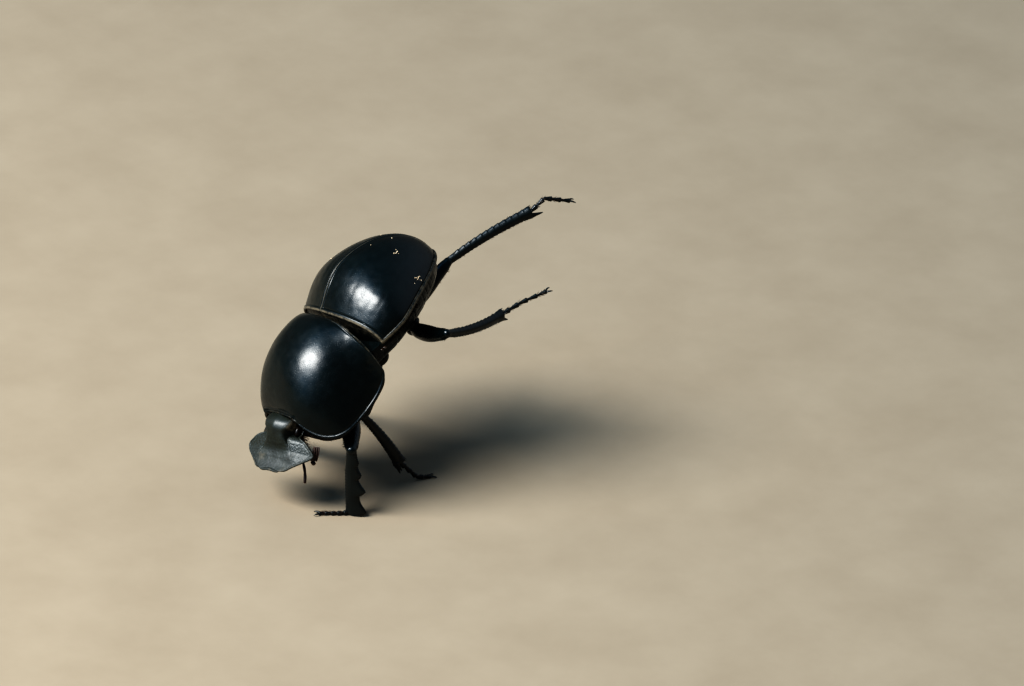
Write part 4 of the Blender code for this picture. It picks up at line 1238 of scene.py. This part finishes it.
def new_material(name):
    """Material, its nodes, its shader and the object's coordinates."""
    material = bpy.data.materials.new(name)
    material.use_nodes = True
    tree = material.node_tree
    place = add_node(tree, "ShaderNodeTexCoord").outputs["Object"]
    return material, tree, tree.nodes["Principled BSDF"], place


def finish_shader(tree, shader, colour, roughness, height, strength, distance, levels):
    """Link colour, roughness and bump, and set the sockets that are the same all over."""
    tree.links.new(colour, shader.inputs["Base Color"])
    tree.links.new(roughness, shader.inputs["Roughness"])
    inputs = {"Height": height, "Strength": strength, "Distance": distance}
    bump = add_node(tree, "ShaderNodeBump", inputs)
    tree.links.new(bump.outputs["Normal"], shader.inputs["Normal"])
    for socket, value in levels.items():
        shader.inputs[socket].default_value = value


def cuticle(name, colour=(0.0015, 0.0032, 0.0034), tint_and_sky_sheen=(0.003, 0.008, 0.0085), roughness=(0.28, 0.38),
            pit_scale=3300.0, pit_depth=0.5, shagreen=0.35, coat=0.22, granules=0.0, specular=0.30):
    """Insect cuticle: dark colour clouds, punctures, shagreen, granules and dust where it gathers.

    The teal in the dark colours is a painted reflection of blue sky on the black, and where the dust
    mask lies on lit beads its tone is partly a painted glint.
    """
    material, tree, shader, place = new_material(name)
    fine = noise_of(tree, place, 5200.0, 4.0, 0.6)
    # dark colour clouds: the cuticle's own black with a teal cast that is a painted sky reflection
    base = mixed(tree, noise_of(tree, place, 420.0), colour, tint_and_sky_sheen)
    grain = mask_of(tree, "grain")
    pits = ranged(tree, cells_of(tree, place, pit_scale), 0.0, 0.33)
    height = reckon(tree, "ADD", reckon(tree, "MULTIPLY", pits, pit_depth),
                    reckon(tree, "MULTIPLY", fine, shagreen))
    if granules:
        knobs = ranged(tree, cells_of(tree, place, 5000.0, "SMOOTH_F1"), 0.0, 0.6, 1.0, 0.0)
        knobs = reckon(tree, "MULTIPLY", knobs, grain)
        height = reckon(tree, "ADD", height, reckon(tree, "MULTIPLY", knobs, granules))
        base = mixed(tree, knobs, base, GRANULE)
    # dust mask; on lit beads the dust tone is also a painted glint
    dust = mask_of(tree, "dust")
    patchy = ranged(tree, noise_of(tree, place, 1500.0, 4.0, 0.65), 0.36, 0.62, 0.6, 1.2)
    cover = ranged(tree, reckon(tree, "MULTIPLY", dust, patchy), 0.32, 0.8)
    specks = ranged(tree, noise_of(tree, place, 9500.0, 2.0, 0.5), 0.70, 0.76, 0.0, 0.5)
    specks = reckon(tree, "MULTIPLY", specks, ranged(tree, dust, 0.0, 0.6, 0.06, 1.0))
    cover = reckon(tree, "MAXIMUM", cover, specks)
    dust_and_glint_tone = mixed(tree, fine, tuple(0.55 * c for c in DUST_AND_GLINT), DUST_AND_GLINT)
    rough = ranged(tree, noise_of(tree, place, 900.0), 0.35, 0.65, *roughness)
    rough = reckon(tree, "ADD", rough, reckon(tree, "MULTIPLY", dust, 0.5), clamp=True)
    rough = reckon(tree, "ADD", rough, reckon(tree, "MULTIPLY", grain, 0.04), clamp=True)
    finish_shader(tree, shader, mixed(tree, cover, base, dust_and_glint_tone), rough, height, 0.55, 0.00004,
                  {"Specular IOR Level": specular, "Coat Weight": coat, "Coat Roughness": 0.2})
    return material


def mottled(name, low, high, scale, roughness, distance, levels=None, facets=0.0):
    """Colour mottled between two tones, with a matching bump or one of facets."""
    material, tree, shader, place = new_material(name)
    spots = noise_of(tree, place, scale, 5.0, 0.6)
    height, strength = (cells_of(tree, place, facets), 0.4) if facets else (spots, 0.5)
    finish_shader(tree, shader, mixed(tree, ranged(tree, spots, 0.3, 0.7), low, high),
                  ranged(tree, spots, 0.3, 0.7, *roughness), height, strength, distance, levels or {})
    return material


def build_materials():
    """Every material of the beetle by a short name."""
    return {
        "shell": cuticle("cuticle_shell"),
        "hood": cuticle("cuticle_head", colour=(0.005, 0.0065, 0.006), tint_and_sky_sheen=(0.016, 0.020, 0.013),
                        roughness=(0.40, 0.50), pit_depth=0.25, granules=1.4, coat=0.05,
                        pit_scale=4200.0, specular=0.52),
        "under": cuticle("cuticle_underside", roughness=(0.34, 0.5), pit_scale=2600.0, coat=0.0),
        "thigh": cuticle("cuticle_femur", roughness=(0.18, 0.3), pit_depth=0.3, shagreen=0.2, coat=0.3),
        "shin": cuticle("cuticle_tibia", colour=(0.003, 0.0045, 0.0045), tint_and_sky_sheen=(0.008, 0.012, 0.012),
                        roughness=(0.28, 0.40), pit_depth=0.4, shagreen=0.25, coat=0.25),
        "feeler": mottled("feeler_brown", (0.018, 0.008, 0.005), (0.06, 0.024, 0.012), 2500.0,
                          (0.3, 0.45), 0.00002),
        "leaf": mottled("club_velvet", (0.020, 0.009, 0.006), (0.050, 0.022, 0.013), 6000.0,
                        (0.6, 0.8), 0.00003, {"Sheen Weight": 0.3}),
        "hair": mottled("bristle_dark", (0.012, 0.007, 0.005), (0.05, 0.025, 0.014), 3000.0,
                        (0.35, 0.5), 0.00001),
        "stone": mottled("sand_grains", (0.38, 0.28, 0.17), (0.75, 0.62, 0.45), 4000.0,
                         (0.5, 0.8), 0.00003),
        "ball": mottled("eye_facets", (0.003, 0.0025, 0.002), (0.010, 0.006, 0.004), 1500.0,
                        (0.3, 0.4), 0.00002, {"Coat Weight": 0.1, "Specular IOR Level": 0.25}, 16000.0),
    }


# ------ building

def add_pieces(matrix, looks, ending, rows):
    """Pieces of one frame; a row is name, shape, material, slot, replaced solid, maybe sharp angle."""
    for name, shape, look, slot, node, *sharp in rows:
        add_piece(name + ending, shape, matrix, looks[look], slot, [node + ending], *sharp)


def build_trunk(looks):
    """Wing cases, pronotum and underside."""
    for word, side in SIDES.items():
        case = ("wing_case", elytron(side), "shell", "shell", "elytron", 60)
        add_pieces(TRUNK, looks, f"_{word}", [case])
    breast = belly(THORAX_FRONT + 0.2, THORAX_REAR, 90, THORAX_SEAMS)
    rings = belly(THORAX_REAR - PLATE_GAP, ABDOMEN_REAR, 90, ABDOMEN_SEAMS)
    plate = belly(ABDOMEN_REAR - PLATE_GAP, PYGIDIUM_REAR, 50, close=0.75)
    add_pieces(TRUNK, looks, "", (
        ("pronotum_shield", pronotum(), "shell", "shell", "pronotum", 60),
        ("breast", breast, "under", "underside", "pterothorax"),
        ("abdomen_rings", rings, "under", "underside", "abdomen"),
        ("tail_plate", plate, "shell", "shell", "pygidium"),
        ("fore_breast", prosternum(), "under", "underside", "prosternum")))


def build_head(looks):
    """Head with its eyes, feelers and mouth."""
    add_pieces(HEAD, looks, "", (("head_shield", head(), "hood", "head", "head", 60),
                                 ("mouth", mouthparts(), "feeler", "feelers", "mouthparts")))
    for word, side in SIDES.items():
        add_pieces(HEAD, looks, f"_{word}", (
            ("eyeball", eye(side), "ball", "eyes", "eye"),
            ("feeler", antenna(side), "feeler", "feelers", "antenna"),
            ("feeler_club", club(side), "leaf", "clubs", "antenna_club"),
            ("feeding_palp", palp(side), "feeler", "feelers", "palp")))


def build_legs(looks):
    """Six legs with their bristles."""
    for number, name in enumerate(LEGS):
        add_pieces(ROOT, looks, f"_{name}", (
            ("hip", coxa(name), "under", "underside", "coxa"),
            ("thigh", femur(name), "thigh", "legs", "femur"),
            ("shin", tibia(name), "shin", "legs", "tibia"),
            ("foot", tarsus(name), "shin", "feet", "tarsus")))
        leg_bristles(name, 100 + number).add_piece(f"bristles_{name}", ROOT, looks["hair"], "legs")


def build_beetle():
    """Every piece of the beetle."""
    looks = build_materials()
    build_trunk(looks)
    build_head(looks)
    build_legs(looks)
    edge_bristles(200).add_piece("bristles_margins", TRUNK, looks["hair"], "underside")
    mouth_bristles(201).add_piece("bristles_mouth", HEAD, looks["hair"], "head")
    add_piece("clinging_sand", sand(300), TRUNK, looks["stone"], "shell")


# ------ stage

def build_floor():
    """Plain pale floor."""
    mesh = bpy.data.meshes.new("floor")
    corners = [(x * FLOOR_HALF, y * FLOOR_HALF, 0) for x, y in ((-1, -1), (1, -1), (1, 1), (-1, 1))]
    mesh.from_pydata(corners, [], [(0, 1, 2, 3)])
    mesh.materials.append(mottled("floor_pale", (0.235, 0.195, 0.146), (0.26, 0.218, 0.165), 60.0,
                                  (0.85, 0.95), 0.0001, {"Specular IOR Level": 0.0}))
    floor = bpy.data.objects.new("floor", mesh)
    bpy.context.scene.collection.objects.link(floor)


def aimed(location, target, name, data):
    """Object that looks from a place at a target."""
    made = bpy.data.objects.new(name, data)
    made.location = location
    made.rotation_mode = "QUATERNION"
    made.rotation_quaternion = (Vector(location) - Vector(target)).to_track_quat("Z", "Y")
    bpy.context.scene.collection.objects.link(made)
    return made


def build_camera():
    """Camera at the photograph's angle and framing."""
    data = bpy.data.cameras.new("camera")
    data.sensor_width = SENSOR
    data.lens = SENSOR * VIEW_DISTANCE / (VIEW_WIDTH * MM)
    data.clip_start, data.clip_end = 0.05, 50.0
    centre = Vector(ROOT[:3, 3] + VIEW_CENTRE) * MM
    back = Vector((sin(VIEW_AZIMUTH) * cos(VIEW_ELEVATION), -cos(VIEW_AZIMUTH) * cos(VIEW_ELEVATION),
                   sin(VIEW_ELEVATION)))
    bpy.context.scene.camera = aimed(centre + back * VIEW_DISTANCE, centre, "camera", data)


def build_key():
    """One soft, long key lamp."""
    centre = Vector((0, 0, 0.015))
    data = bpy.data.lights.new("key", "AREA")
    data.shape = "ELLIPSE"
    data.size, data.size_y = KEY_SIZE
    data.energy = KEY_WATTS
    data.color = (1.0, 0.97, 0.92)
    lamp = aimed(centre + KEY_WAY * KEY_DISTANCE, centre, "key", data)
    lamp.rotation_quaternion = lamp.rotation_quaternion @ Quaternion((0, 0, 1), KEY_TURN)


def scaled(tree, vector, factor):
    """Vector or colour times a number."""
    inputs = {0: vector, "Scale": factor}
    return add_node(tree, "ShaderNodeVectorMath", inputs, operation="SCALE").outputs[0]


def build_world():
    """Dim studio all about, with pale blue glows round the key lamp and behind."""
    world = bpy.data.worlds.new("studio")
    bpy.context.scene.world = world
    world.use_nodes = True
    tree = world.node_tree
    place = add_node(tree, "ShaderNodeTexCoord").outputs["Generated"]
    height = add_node(tree, "ShaderNodeSeparateXYZ", {"Vector": place}).outputs["Z"]
    room = mixed(tree, ranged(tree, height, 0.0, 0.9), (1.0, 0.86, 0.70), (0.55, 0.70, 0.95))
    total = scaled(tree, room, WORLD_STRENGTH)
    for way, sharpness, strength, colour in GLOWS:
        near = add_node(tree, "ShaderNodeVectorMath", {0: place, 1: way}, operation="DOT_PRODUCT")
        near = reckon(tree, "POWER", reckon(tree, "MAXIMUM", near.outputs["Value"], 0.0), sharpness)
        glow = scaled(tree, colour, reckon(tree, "MULTIPLY", near, strength))
        total = add_node(tree, "ShaderNodeVectorMath", {0: total, 1: glow}, operation="ADD").outputs[0]
    tree.links.new(total, tree.nodes["Background"].inputs["Color"])


def set_contrast():
    """Hard sunlight look of the photograph."""
    view = bpy.context.scene.view_settings
    view.view_transform = "Standard"
    view.look = "Very High Contrast"


build_beetle()
build_floor()
build_camera()
build_key()
build_world()
set_contrast()
